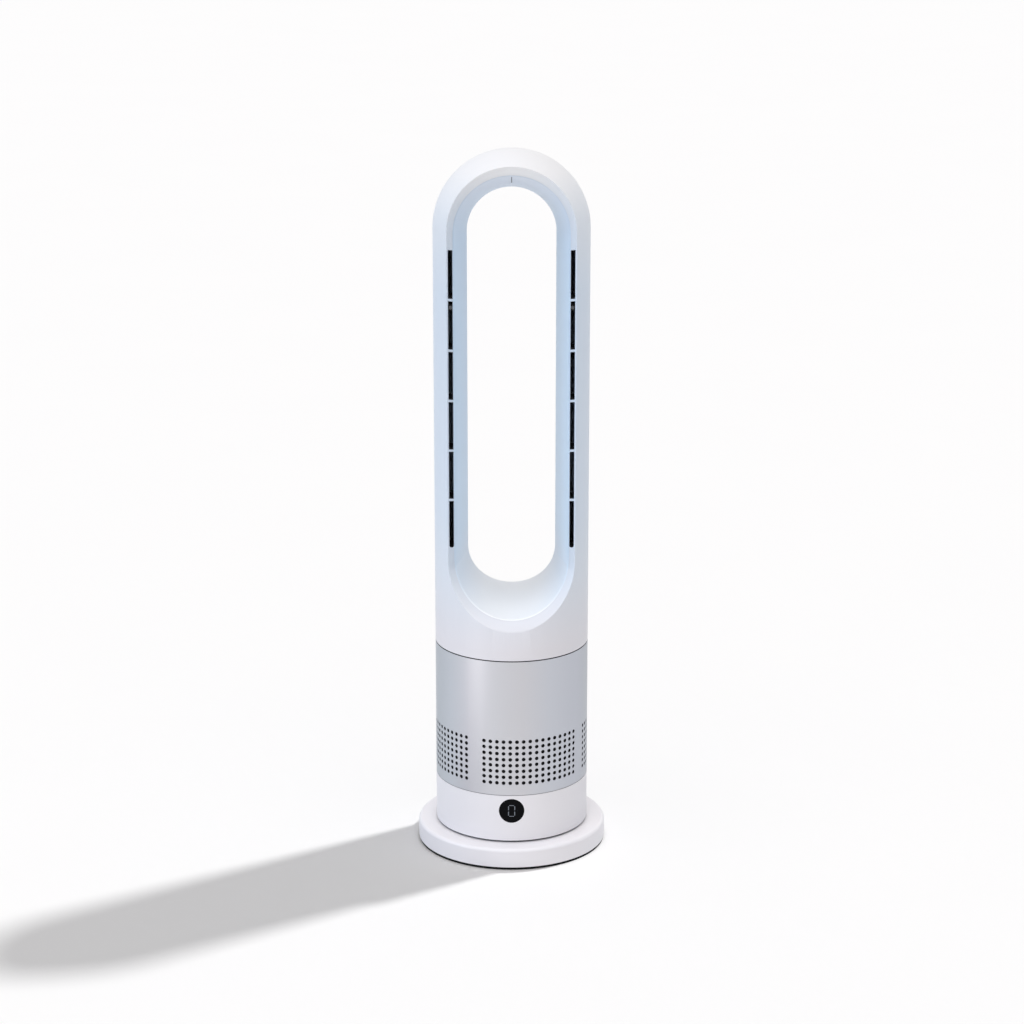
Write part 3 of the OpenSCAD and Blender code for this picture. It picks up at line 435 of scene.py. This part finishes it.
NODE_FINISHES: dict[Finish, tuple[str, ...]] = {
    Paints.base_white: ("base_cover",),
    Paints.collar_white_painted_seam_shade: ("collar",),
    Paints.rubber: ("foot_ring", "duct_seal"),
    Paints.dark_ring: ("base_plate", "head_ring"),
    Paints.iron: ("ballast",),
    Paints.zinc: ("base_screws", "post_screws", "gear_screws", "board_screws", "swivel_motor_screws",
             "motor_screws", "head_screws", "impeller_nut"),
    Paints.dark_zinc: ("guide_screws",),
    Paints.cast: ("pivot_post", "motor_base"),
    Paints.slide_black: ("glide_ring",),
    Paints.slide_cream: ("swivel_gear", "pinion"),
    Paints.black_plastic: ("power_socket", "outlet_guide_left", "outlet_guide_right"),
    Paints.black_window: ("display_lens",),
    Paints.led: ("led_module",),
    Paints.board: ("display_board", "control_board"),
    Paints.can: ("swivel_motor", "motor_rotor"),
    Paints.silver_painted_light: ("perforated_sleeve",),
    Paints.screen: ("dust_screen",),
    Paints.duct_white: ("fan_shroud", "diffuser"),
    Paints.copper: ("motor_stator",),
    Paints.ground: ("lower_bearing", "upper_bearing", "impeller_shaft", "pinion_shaft"),
    Paints.head_white_painted_shade: ("loop_front_shell", "loop_rear_shell"),
    Paints.throat_white_painted_shade: ("throat_liner",),
    Paints.fan_black: ("impeller",),
}


class Wardrobe:
    """Makes each finish's material when it is first asked for."""

    def __init__(self) -> None:
        """Starts with no material made."""
        self.made: dict[str, bpy.types.Material] = {}

    def material(self, finish: Finish | GlowFinish) -> bpy.types.Material:
        """The material of a finish."""
        if finish.name not in self.made:
            self.made[finish.name] = finish.material()
        return self.made[finish.name]

    def dress(self, piece: bpy.types.Object, finish: Finish | GlowFinish) -> None:
        """Gives a piece one finish.

        Args:
            piece: a mesh object.
            finish: the finish for all its faces.
        """
        piece.data.materials.clear()
        piece.data.materials.append(self.material(finish))


# Modelling


class Shape:
    """A mesh object while it is modelled with operators."""

    def __init__(self, name: str) -> None:
        """Takes the primitive that was just added. Args: name: its new name."""
        self.piece = bpy.context.active_object
        self.piece.name = name
        self.piece.data.name = name

    @staticmethod
    def clear() -> None:
        """Deselects everything."""
        if bpy.context.mode != "OBJECT":
            bpy.ops.object.mode_set(mode="OBJECT")
        bpy.ops.object.select_all(action="DESELECT")

    @classmethod
    def ball(cls, name: str, radius: float, centre: Point, segments: int, rings: int) -> "Shape":
        """A sphere with its poles on Z."""
        cls.clear()
        bpy.ops.mesh.primitive_uv_sphere_add(segments=segments, ring_count=rings, radius=radius,
                                             location=centre)
        return cls(name)

    @classmethod
    def hoop(cls, name: str, radius: float, centre: Point, vertices: int) -> "Shape":
        """An empty circle standing in the XZ plane, turned so that no point is level with its centre."""
        cls.clear()
        bpy.ops.mesh.primitive_circle_add(vertices=vertices, radius=radius, location=centre,
                                          rotation=(math.pi / 2, math.pi / vertices, 0.0))
        return cls(name).settle()

    @classmethod
    def block(cls, name: str, low: Point, high: Point, tilt: float = 0.0) -> "Shape":
        """A box between two corners, tilted about X at its middle, as the start of a cutter or a bar."""
        cls.clear()
        middle = [(a + b) / 2 for a, b in zip(low, high)]
        bpy.ops.mesh.primitive_cube_add(size=1.0, location=middle)
        shape = cls(name)
        shape.piece.scale = [b - a for a, b in zip(low, high)]
        shape.piece.rotation_euler = (tilt, 0.0, 0.0)
        return shape.settle()

    @classmethod
    def rod(cls, name: str, radius: float, length: float, centre: Point, tilt: float = 0.0) -> "Shape":
        """A cylinder along Y, tilted about X at its middle, as the start of a cutter or a post."""
        cls.clear()
        bpy.ops.mesh.primitive_cylinder_add(vertices=ROD_SIDES, radius=radius, depth=length,
                                            location=centre, rotation=(math.pi / 2 + tilt, 0.0, 0.0))
        return cls(name).settle()

    def settle(self) -> "Shape":
        """Moves the object's place into its mesh, so that the object sits at the origin."""
        self._only()
        bpy.ops.object.transform_apply(location=True, rotation=True, scale=True)
        return self

    def _only(self) -> None:
        """Makes this the only selected object."""
        self.clear()
        self.piece.select_set(True)
        bpy.context.view_layer.objects.active = self.piece

    def pick(self, kind: Pick, test: Callable[[Vector], bool]) -> "Shape":
        """Selects parts of the mesh by their place and stays in edit mode.

        Args:
            kind: what to select.
            test: says whether a part whose middle is at a point is taken.

        Returns:
            This shape.
        """
        if bpy.context.mode != "EDIT_MESH":
            self._only()
            bpy.ops.object.mode_set(mode="EDIT")
        bpy.ops.mesh.select_mode(type=kind.value)
        bpy.ops.mesh.select_all(action="DESELECT")
        mesh = bmesh.from_edit_mesh(self.piece.data)
        if kind is Pick.VERTS:
            for vert in mesh.verts:
                vert.select = test(vert.co)
        else:
            for edge in mesh.edges:
                edge.select = test((edge.verts[0].co + edge.verts[1].co) / 2)
        mesh.select_flush_mode()
        bmesh.update_edit_mesh(self.piece.data)
        return self

    def leave(self) -> "Shape":
        """Goes back to object mode."""
        if bpy.context.mode == "EDIT_MESH":
            bpy.ops.object.mode_set(mode="OBJECT")
        return self

    def cut(self, *cutters: "Shape") -> "Shape":
        """Takes cutters away from this shape and deletes them.

        Args:
            cutters: closed shapes.

        Returns:
            This shape.
        """
        for cutter in cutters:
            self.combine(cutter, "DIFFERENCE")
        return self

    def combine(self, other: "Shape", operation: str) -> "Shape":
        """Joins or cuts with another closed shape, which is deleted."""
        other.leave()
        self.leave()
        self._only()
        modifier = self.piece.modifiers.new("with_" + other.piece.name, "BOOLEAN")
        modifier.operation = operation
        modifier.solver = "EXACT"
        modifier.object = other.piece
        bpy.ops.object.modifier_apply(modifier=modifier.name)
        bpy.data.objects.remove(other.piece)
        return self

    def twin(self, name: str, step: Point) -> "Shape":
        """A copy with its own mesh, moved by a step."""
        self.leave()
        self._only()
        bpy.ops.object.duplicate()
        copy = Shape(name)
        bpy.ops.transform.translate(value=step)
        return copy.settle()

    def chosen(self) -> list[int]:
        """Numbers of the points that are selected in edit mode."""
        mesh = bmesh.from_edit_mesh(self.piece.data)
        mesh.verts.index_update()
        return [vert.index for vert in mesh.verts if vert.select]

    def narrow(self, numbers: Sequence[int], test: Callable[[Vector], bool]) -> None:
        """Selects those of some points that pass a test on their place."""
        bpy.ops.mesh.select_all(action="DESELECT")
        mesh = bmesh.from_edit_mesh(self.piece.data)
        mesh.verts.ensure_lookup_table()
        for number in numbers:
            mesh.verts[number].select = test(mesh.verts[number].co)
        mesh.select_flush_mode()
        bmesh.update_edit_mesh(self.piece.data)

    def project(self, target: "Shape") -> "Shape":
        """Moves every point backwards along Y onto another shape, which is deleted."""
        self.leave()
        self._only()
        modifier = self.piece.modifiers.new("onto_" + target.piece.name, "SHRINKWRAP")
        modifier.wrap_method = "PROJECT"
        modifier.use_project_y = True
        modifier.target = target.piece
        bpy.ops.object.modifier_apply(modifier=modifier.name)
        bpy.data.objects.remove(target.piece)
        return self

    def outward(self) -> "Shape":
        """Merges doubles and turns every face outwards."""
        self.pick(Pick.VERTS, lambda place: True)
        bpy.ops.mesh.remove_doubles(threshold=MERGE)
        bpy.ops.mesh.normals_make_consistent(inside=False)
        return self.leave()

    def soften(self, degrees: float = 30.0) -> "Shape":
        """Shades smooth except across edges sharper than an angle."""
        self.leave()
        self._only()
        bpy.ops.object.shade_smooth_by_angle(angle=math.radians(degrees))
        return self

    def slice_off(self, point: Point, normal: Point) -> "Shape":
        """Cuts by a plane, drops the side the normal points to, and closes the cut."""
        self.pick(Pick.VERTS, lambda place: True)
        bpy.ops.mesh.bisect(plane_co=point, plane_no=normal, use_fill=True, clear_outer=True)
        return self.leave()


@dataclass(frozen=True)
class Outline:
    """An upright outline with two round ends.

    Attributes:
        radius: radius of both ends.
        low, high: heights of the ends' centres.
    """

    radius: float
    low: float
    high: float

    def grown(self, out: float, draw: float = 0.0) -> "Outline":
        """The outline with a larger radius and its centres drawn together."""
        return Outline(self.radius + out, self.low + draw, self.high - draw)

    def holds(self, place: Vector) -> bool:
        """Whether a point lies on the outline, seen from the front."""
        nearest = min(max(place.z, self.low), self.high)
        return abs(math.hypot(place.x, place.z - nearest) - self.radius) < ON_LINE


class Former:
    """A closed form that is extruded from one upright outline to the next."""

    def __init__(self, name: str, start: Outline, depth: float, points: int) -> None:
        """Starts with one open outline, which is left selected.

        Args:
            name: name of the shape.
            start: the first outline.
            depth: its place along Y.
            points: how many points it has.
        """
        self.now = start
        self.shape = Shape.hoop(name, start.radius, (0.0, depth, start.low), points)
        self.shape.pick(Pick.VERTS, lambda place: place.z > start.low)
        bpy.ops.transform.translate(value=(0.0, 0.0, start.high - start.low))
        self.shape.pick(Pick.VERTS, lambda place: True)

    def extrude(self) -> "Former":
        """Extrudes what is selected; the new outline lies on the old one and is selected."""
        bpy.ops.mesh.extrude_region_move()
        return self

    def become(self, then: Outline, back: float) -> "Former":
        """Resizes each end of the selected outline about its own centre and moves it.

        Args:
            then: the outline's new size.
            back: distance that it moves along Y.

        Returns:
            This former.
        """
        ring = self.shape.chosen()
        middle, share = (self.now.low + self.now.high) / 2, then.radius / self.now.radius
        for old, new, side in ((self.now.low, then.low, -1), (self.now.high, then.high, 1)):
            self.shape.narrow(ring, lambda place: (place.z - middle) * side > 0)
            bpy.ops.transform.resize(value=(share, 1.0, share), center_override=(0.0, 0.0, old))
            bpy.ops.transform.translate(value=(0.0, back, new - old))
        self.shape.narrow(ring, lambda place: True)
        self.now = then
        return self

    def flatten(self, depth: float) -> "Former":
        """Brings the selected outline into one upright plane."""
        bpy.ops.transform.resize(value=(1.0, 0.0, 1.0), center_override=(0.0, depth, 0.0))
        return self

    def cap(self) -> "Former":
        """Closes the selected outline with a face."""
        bpy.ops.mesh.edge_face_add()
        return self

    def project(self, target: Shape, keep: Outline) -> "Former":
        """Lays every point on the front of a shape and selects one outline."""
        self.shape.project(target)
        return self.go_to(keep, -math.inf)

    def go_to(self, outline: Outline, behind: float) -> "Former":
        """Selects the points of an outline that lie behind a depth."""
        self.shape.pick(Pick.VERTS, lambda place: outline.holds(place) and place.y > behind)
        self.now = outline
        return self


@dataclass
class LoopHead:
    """The tall open loop: two shells, the throat liner and the slots in the bevelled land.

    Attributes:
        outer_r: outside radius.
        foot_z: height of the lower edge.
        crown_z: height of the middle of the crown.
        wall: wall of the shells.
        rim_r, rim_low, rim_high: radius and bend heights of the opening's rim.
        land_w, land_depth, land_draw: width, depth and draw of the bevelled land.
        throat_r, throat_low, throat_high: the throat at mid depth.
        taper, fall: what the throat loses in width and height for each unit of depth.
        liner_wall, fit: wall of the liner and its play in the shells.
        split_y: depth of the seam between the shells.
        slot_x, slot_w, slot_low, slot_high: place and size of the slots.
        windows, bridge_h: windows in a slot and the bridges between them.
        boss_z, boss_r, boss_front, post_back: height, radius and ends of the screw posts.
        mark_half, mark_front, mark_back: half width and ends of the parting mark at the crown.
        slot_y, slot_reach, slot_slope: depth of the slots' middle, half of the cut's depth, and its
            fall inwards.
        segments: points round the column.
        half_ring: points round each end of the opening.
        lip_w, rounding: width and depth of the rounding at the rim.
        round_share, round_end: place across the land where the rounding ends, and its depth there.
        ahead_share, past_share: places across the land where the forms that cut it begin and end.
        core_inset: how far inside the throat the form that cuts the land closes.
        spill, margin: how far cutters reach past a surface, and how far they stay off one.
        strip_play, strip_sunk: play of the parting strip in its mark, and how far it lies below
            the throat.
    """

    outer_r: float = 100 * MM
    foot_z: float = 278.45 * MM
    crown_z: float = 823.5 * MM
    wall: float = 2.5 * MM
    rim_r: float = 81.1 * MM
    rim_low: float = 398.2 * MM
    rim_high: float = 827.2 * MM
    land_w: float = 9.1 * MM
    land_depth: float = 15 * MM
    land_draw: float = 3.8 * MM
    throat_r: float = 67.1 * MM
    throat_low: float = 393.9 * MM
    throat_high: float = 816.9 * MM
    taper: float = 0.112
    fall: float = 0.15
    liner_wall: float = 1.5 * MM
    fit: float = 0.1 * MM
    split_y: float = 20 * MM
    slot_x: float = 77 * MM
    slot_w: float = 5.6 * MM
    slot_low: float = 416.4 * MM
    slot_high: float = 804 * MM
    windows: int = 6
    bridge_h: float = 3.0 * MM
    slot_y: float = -51.7 * MM
    slot_reach: float = 22 * MM
    slot_slope: float = math.radians(15)
    segments: int = 192
    half_ring: int = 90
    boss_z: float = 726.1 * MM
    boss_r: float = 4 * MM
    boss_front: float = -16 * MM
    post_back: float = 56 * MM
    mark_half: float = 0.6 * MM
    mark_front: float = -34 * MM
    mark_back: float = 42 * MM
    lip_w: float = 1.3 * MM
    rounding: float = 0.45 * MM
    round_share: float = 0.13
    round_end: float = 0.03 * MM
    ahead_share: float = -0.05
    past_share: float = 1.3
    core_inset: float = 8 * MM
    spill: float = 4 * MM
    margin: float = 1 * MM
    strip_play: float = 0.01 * MM
    strip_sunk: float = 0.15 * MM

    def capsule(self, name: str, inset: float, low: float) -> Shape:
        """A closed column with a round crown.

        Args:
            name: name of the shape.
            inset: distance inside the outer surface.
            low: height of its flat foot.

        Returns:
            The closed shape.
        """
        crown = self.crown_z
        shape = Shape.ball(name, self.outer_r - inset, (0.0, 0.0, crown), self.segments,
                           self.segments // 2)
        shape.settle().pick(Pick.VERTS, lambda place: place.z < crown - TOUCH)
        bpy.ops.mesh.delete(type="VERT")
        shape.pick(Pick.VERTS, lambda place: place.z < crown + TOUCH)
        bpy.ops.mesh.extrude_region_move(TRANSFORM_OT_translate={"value": (0.0, 0.0, low - crown)})
        bpy.ops.mesh.edge_face_add()
        return shape.outward()

    def throat_outline(self, y: float, grow: float) -> Outline:
        """Outline of the throat at depth y, grown by a distance."""
        radius, drop = self.throat_r - self.taper * y + grow, self.fall * y
        return Outline(radius, self.throat_low - drop, self.throat_high - drop)

    def throat(self, grow: float) -> Shape:
        """The throat's void as a closed form."""
        reach = self.outer_r + self.margin
        former = Former("throat_void", self.throat_outline(-reach, grow), -reach, 2 * self.half_ring)
        former.cap().extrude().become(self.throat_outline(reach, grow), 2 * reach)
        return former.shape.outward()

    def land_step(self, share: float, grow: float) -> tuple[Outline, float]:
        """A line across the land: share is 0 at the rim and 1 at the land's inner edge.

        Args:
            share: place across the land.
            grow: distance to the material side.

        Returns:
            The line's outline and how far it lies behind the rim.
        """
        slope = math.hypot(self.land_w, self.land_depth)
        rim = Outline(self.rim_r, self.rim_low, self.rim_high)
        return (rim.grown(grow * self.land_depth / slope - share * self.land_w, share * self.land_draw),
                share * self.land_depth + grow * self.land_w / slope)

    def land(self, grow: float) -> Shape:
        """Everything in front of the land, as a closed form; without growth it has the rim's rounding."""
        front = -self.outer_r - self.spill
        rim = Outline(self.rim_r, self.rim_low, self.rim_high)
        lip = rim.grown(self.lip_w)
        former = Former("land_void", lip, front, 2 * self.half_ring).extrude().become(rim, 0.0)
        former.project(self.capsule("column_form", 0.0, self.foot_z), lip)
        former.extrude().become(lip.grown(self.spill), -self.spill / 2).extrude().flatten(front).cap()
        steps = ((0.0, self.rounding), (self.round_share, self.round_end), (self.past_share, 0.0))
        if grow:
            steps = ((self.ahead_share, grow), (self.past_share, grow))
        lines = [self.land_step(share, out) for share, out in steps]
        former.go_to(rim, front + self.margin)
        outline, there = lines[0]
        former.become(outline, there)
        for outline, step in lines[1:]:
            former.extrude().become(outline, step - there)
            there = step
        core = Outline(self.throat_r - self.core_inset, self.throat_low, self.throat_high)
        return former.extrude().become(core, 0.0).flatten(0.0).cap().shape.outward()

    def slots(self) -> list[Shape]:
        """The windows of both slots as closed cutters that slope down; the lowest has a round foot."""
        pitch = (self.slot_high - self.slot_low + self.bridge_h) / self.windows
        front, back = self.slot_y - self.slot_reach, self.slot_y + self.slot_reach
        x, half_w, shrink = -self.slot_x, self.slot_w / 2, math.cos(self.slot_slope)

        def window(low: float, high: float) -> Shape:
            """A window of the left slot between two heights."""
            middle, half = (low + high) / 2, (high - low) / 2 * shrink
            return Shape.block("slot_window", (x - half_w, front, middle - half),
                               (x + half_w, back, middle + half), -self.slot_slope)

        foot = self.slot_low + half_w
        left = [window(foot, self.slot_low + pitch - self.bridge_h),
                Shape.rod("slot_foot", half_w, 2 * self.slot_reach, (x, self.slot_y, foot),
                          -self.slot_slope),
                window(self.slot_low + pitch, self.slot_low + 2 * pitch - self.bridge_h)]
        left += [left[-1].twin("slot_window", (0.0, 0.0, k * pitch)) for k in range(1, self.windows - 1)]
        return left + [cutter.twin("slot_right", (2 * self.slot_x, 0.0, 0.0)) for cutter in left]

    def front_shell(self) -> Shape:
        """The front moulding with the rounded rim, the land and the slots."""
        cavity = self.capsule("cavity", self.wall, self.foot_z - self.spill).cut(self.land(self.wall))
        shell = self.capsule("loop_front", 0.0, self.foot_z)
        shell.cut(cavity, self.land(0.0), self.throat(self.liner_wall + self.fit))
        shell.slice_off((0.0, self.split_y, 0.0), (0.0, 1.0, 0.0))
        shell.cut(*self.slots())
        return shell.soften()

    def rear_shell(self) -> Shape:
        """The rear moulding with its two screw posts."""
        cavity = self.capsule("cavity", self.wall, self.foot_z - self.spill)
        shell = self.capsule("loop_rear", 0.0, self.foot_z)
        shell.cut(cavity, self.throat(self.liner_wall + self.fit))
        shell.slice_off((0.0, self.split_y + self.fit, 0.0), (0.0, -1.0, 0.0))
        length = self.post_back - self.boss_front
        left = Shape.rod("post", self.boss_r, length,
                         (-self.slot_x, self.boss_front + length / 2, self.boss_z))
        right = left.twin("post_right", (2 * self.slot_x, 0.0, 0.0))
        shell.combine(left, "UNION").combine(right, "UNION")
        return shell.soften()

    def liner(self) -> Shape:
        """The inner wall of the loop, with the parting mark at its crown."""
        wall = self.throat(self.liner_wall)
        wall.piece.name = "loop_throat"
        wall.combine(self.capsule("outer_form", 0.0, self.foot_z), "INTERSECT")
        mark = Shape.block("parting_mark", (-self.mark_half, self.mark_front, self.throat_high),
                           (self.mark_half, self.mark_back, self.crown_z + self.outer_r))
        wall.cut(mark, self.throat(0.0), self.land(0.0))
        return wall.soften()

    def mark_fill(self) -> Shape:
        """The dark strip that fills the parting mark."""
        strip = self.throat(self.liner_wall - self.fit)
        strip.piece.name = "parting_strip"
        play = self.strip_play
        form = Shape.block("strip_form",
                           (play - self.mark_half, self.mark_front + play, self.throat_high),
                           (self.mark_half - play, self.mark_back - play, self.crown_z + self.outer_r))
        strip.combine(form, "INTERSECT")
        return strip.cut(self.throat(self.strip_sunk), self.land(self.fit)).soften()

    def build(self, wardrobe: Wardrobe) -> None:
        """Models the three pieces, dresses them and puts them in place of the CAD nodes."""
        made = ((self.front_shell(), "loop_front_shell", Paints.head_white_painted_shade),
                (self.rear_shell(), "loop_rear_shell", Paints.head_white_painted_shade),
                (self.liner(), "throat_liner", Paints.throat_white_painted_shade))
        for shape, node, finish in made:
            wardrobe.dress(shape.piece, finish)
            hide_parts(node)
            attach(shape.piece, "column")
            LOG.info("%s: %d faces", shape.piece.name, len(shape.piece.data.polygons))
        strip = self.mark_fill().piece
        wardrobe.dress(strip, Paints.seal_grey)
        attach(strip, "column")


@dataclass
class Display:
    """The plain digit that shows through the round window.

    Attributes:
        centre_z: height of the window's centre.
        face_y: depth of the window's face.
        width, height: size of the digit.
        bar: width of a bar.
        gap_share: room at a bar's ends, as a share of its width.
        proud, sunk: how far the bars stand out of the window and reach into it.
        edge: bevel of a bar's edges.
    """

    centre_z: float = 72.8 * MM
    face_y: float = -100 * MM
    width: float = 8 * MM
    height: float = 15 * MM
    bar: float = 1.3 * MM
    gap_share: float = 0.7
    proud: float = 0.03 * MM
    sunk: float = 0.4 * MM
    edge: float = 0.3 * MM

    def build(self, wardrobe: Wardrobe) -> None:
        """Models the six lit bars of the digit 0 and dresses them."""
        half_w, half_h, half_bar = self.width / 2, self.height / 2, self.bar / 2
        gap = self.bar * self.gap_share
        flat = self._bar(gap - half_w, half_w - gap, half_h - half_bar, half_h + half_bar)
        upright = self._bar(-half_w - half_bar, half_bar - half_w, gap, half_h - gap)
        steps = ((0.0, 0.0, -half_h), (self.width, 0.0, 0.0), (self.width, 0.0, -half_h))
        bars = [flat, upright, flat.twin("digit_bar", (0.0, 0.0, -self.height)),
                *(upright.twin("digit_bar", step) for step in steps)]
        Shape.clear()
        for bar in bars:
            bar.piece.select_set(True)
        bpy.context.view_layer.objects.active = bars[0].piece
        bpy.ops.object.join()
        digit = bars[0].piece
        digit.name = "display_digit"
        wardrobe.dress(digit, Paints.digit)
        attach(digit, "column")
        LOG.info("display_digit: %d faces", len(digit.data.polygons))

    def _bar(self, left: float, right: float, low: float, high: float) -> Shape:
        """One bar, with its ends bevelled."""
        face = self.face_y - self.proud
        bar = Shape.block("digit_bar", (left, face, self.centre_z + low),
                          (right, self.face_y + self.sunk, self.centre_z + high))
        bar.pick(Pick.EDGES, lambda place: True)
        bpy.ops.mesh.bevel(offset=self.edge, segments=2, affect="EDGES")
        return bar.leave()


class Lights(Enum):
    """What a lamp lights."""

    FLOOR = "the floor alone"
    BASE = "the base cover alone"
    FAN = "all but the floor"


@dataclass(frozen=True)
class Stage:
    """The pieces that lamps are told apart by.

    Attributes:
        floor: the floor.
        base: the base cover.
    """

    floor: bpy.types.Object
    base: bpy.types.Object

    def link(self, holder: bpy.types.Object, lights: Lights) -> None:
        """Makes a lamp light only some of the pieces.

        Args:
            holder: the lamp's object.
            lights: what it lights.
        """
        lit = bpy.data.collections.new(holder.name + "_lights")
        lit.objects.link(self.base if lights is Lights.BASE else self.floor)
        state = "EXCLUDE" if lights is Lights.FAN else "INCLUDE"
        lit.collection_objects[0].light_linking.link_state = state
        holder.light_linking.receiver_collection = lit


@dataclass(frozen=True)
class Lamp:
    """A lamp of any kind.

    Attributes:
        name: its name.
        strength: strength of a distant lamp, or watts of a near one.
        colour: its colour.
        lights: what it lights.
    """

    name: str
    strength: float
    colour: Colour
    lights: Lights

    def hang(self, kind: str, stage: Stage) -> bpy.types.Object:
        """Makes the lamp.

        Args:
            kind: the lamp's type.
            stage: the pieces that it may be linked to.

        Returns:
            The lamp's object.
        """
        light = bpy.data.lights.new(self.name, kind)
        light.energy = self.strength
        light.color = self.colour
        holder = bpy.data.objects.new(self.name, light)
        bpy.context.scene.collection.objects.link(holder)
        stage.link(holder, self.lights)
        return holder


@dataclass(frozen=True)
class Distant(Lamp):
    """A distant lamp.

    Attributes:
        towards: direction to the lamp.
        spread: its angular size in degrees.
    """

    towards: Point
    spread: float

    def build(self, stage: Stage) -> None:
        """Makes the lamp and turns it. Args: stage: the pieces that it may be linked to."""
        holder = self.hang("SUN", stage)
        holder.data.angle = math.radians(self.spread)
        holder.rotation_euler = Vector(self.towards).to_track_quat("Z", "Y").to_euler()
        holder.location = Vector(self.towards) * 3


@dataclass(frozen=True)
class Near(Lamp):
    """A soft ball of light.

    Attributes:
        place: where it stands.
        radius: its radius.
    """

    place: Point
    radius: float

    def build(self, stage: Stage) -> None:
        """Makes the lamp and places it. Args: stage: the pieces that it may be linked to."""
        holder = self.hang("POINT", stage)
        holder.data.shadow_soft_size = self.radius
        holder.location = self.place


@dataclass
class Studio:
    """Floor, light and camera.

    Attributes:
        floor_size: side of the floor.
        lamps: the lamps.
        front, around, zenith: radiance of the surroundings in front, at the sides and behind, and
            overhead.
        eye: place of the camera.
        dip: how far it looks down, in degrees.
        lens: its focal length in millimetres, on a 36 mm sensor.
    """

    floor_size: float = 60.0
    lamps: tuple[Distant | Near, ...] = (
        Distant("key", 1.78, (1.0, 1.0, 1.0), Lights.FLOOR, (0.510, 0.344, 0.788), 4.0),
        Distant("base_back", 0.70, (1.0, 1.0, 1.0), Lights.BASE, (0.42, 0.62, 0.66), 60.0),
        Distant("overhead", 1.42, (1.0, 0.975, 0.965), Lights.FAN, (-0.05, -0.34, 0.94), 50.0),
        Distant("cool_left", 0.70, (0.40, 0.66, 1.0), Lights.FAN, (-0.86, -0.38, 0.33), 50.0),
        Distant("cool_right", 0.16, (0.14, 0.52, 1.0), Lights.FAN, (0.93, -0.15, 0.33), 60.0),
        Near("low_left", 3.2, (1.0, 0.96, 0.95), Lights.FAN, (-0.66, -0.56, 0.10), 0.18),
    )
    front: Colour = (0.52, 0.505, 0.52)
    around: Colour = (0.04, 0.08, 0.14)
    zenith: Colour = (0.79, 0.765, 0.745)
    eye: Point = (0.0005, -3.5805, 1.4743)
    dip: float = 15.978
    lens: float = 100.76

    def build(self, base: bpy.types.Object) -> None:
        """Makes the floor, the world, the lamps and the camera.

        Args:
            base: the base cover, which one lamp lights alone.
        """
        stage = Stage(self._floor(), base)
        self._world()
        for lamp in self.lamps:
            lamp.build(stage)
        self._camera()
        LOG.info("studio ready")

    def _floor(self) -> bpy.types.Object:
        """A wide pale floor that keeps the fan's shadow.

        Returns:
            The floor.
        """
        Shape.clear()
        bpy.ops.mesh.primitive_plane_add(size=self.floor_size)
        floor = Shape("floor").piece
        made = bpy.data.materials.new("pale_floor")
        made.use_nodes = True
        nodes = Nodes(made.node_tree)
        tone = nodes.noise(3.0)
        matt = nodes.node("ShaderNodeBsdfPrincipled", {}, {
            "Base Color": nodes.blend(tone, (0.955, 0.955, 0.955), (0.965, 0.965, 0.965)),
            "Roughness": 0.9, "Specular IOR Level": 0.0})
        nodes.node("ShaderNodeOutputMaterial", {}, {"Surface": matt.outputs[0]})
        floor.data.materials.append(made)
        return floor

    def _world(self) -> None:
        """Soft light from all round, and white where the camera sees past the floor."""
        world = bpy.data.worlds.new("studio")
        bpy.context.scene.world = world
        world.use_nodes = True
        nodes = Nodes(world.node_tree)
        _, deep, high = nodes.axes("Generated")
        level = nodes.blend((deep * -1.0).clamped(), self.around, self.front)
        colour = nodes.blend(high.clamped(), level, self.zenith)
        light = nodes.node("ShaderNodeBackground", {}, {"Color": colour, "Strength": 1.0})
        white = nodes.node("ShaderNodeBackground", {}, {"Color": (1.0, 1.0, 1.0, 1.0), "Strength": 1.0})
        rays = nodes.node("ShaderNodeLightPath", {}, {})
        camera, glossy, through = (Socket(nodes, rays.outputs["Is %s Ray" % kind])
                                   for kind in ("Camera", "Glossy", "Transmission"))
        seen = camera + glossy + through
        both = nodes.node("ShaderNodeMixShader", {}, {0: seen.clamped(), 1: light.outputs[0],
                                                      2: white.outputs[0]})
        nodes.node("ShaderNodeOutputWorld", {}, {"Surface": both.outputs[0]})

    def _camera(self) -> None:
        """The photograph's viewpoint: 16 degrees down on the front, from 3.6 m."""
        camera = bpy.data.cameras.new("camera")
        camera.lens = self.lens
        camera.sensor_width = 36.0
        camera.clip_end = 200.0
        holder = bpy.data.objects.new("camera", camera)
        holder.location = self.eye
        holder.rotation_euler = (math.radians(90.0 - self.dip), 0.0, 0.0)
        bpy.context.scene.collection.objects.link(holder)
        bpy.context.scene.camera = holder


def main() -> None:
    """Builds the fan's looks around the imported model."""
    logging.basicConfig(level=logging.INFO, format="%(name)s: %(message)s")
    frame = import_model()
    bpy.context.scene.view_settings.view_transform = "Standard"
    Studio().build(frame["nodes"]["base_cover"])
    wardrobe = Wardrobe()
    for finish, names in NODE_FINISHES.items():
        for name in names:
            wardrobe.dress(frame["nodes"][name], finish)
    LoopHead().build(wardrobe)
    Display().build(wardrobe)


if __name__ == "__main__":
    main()
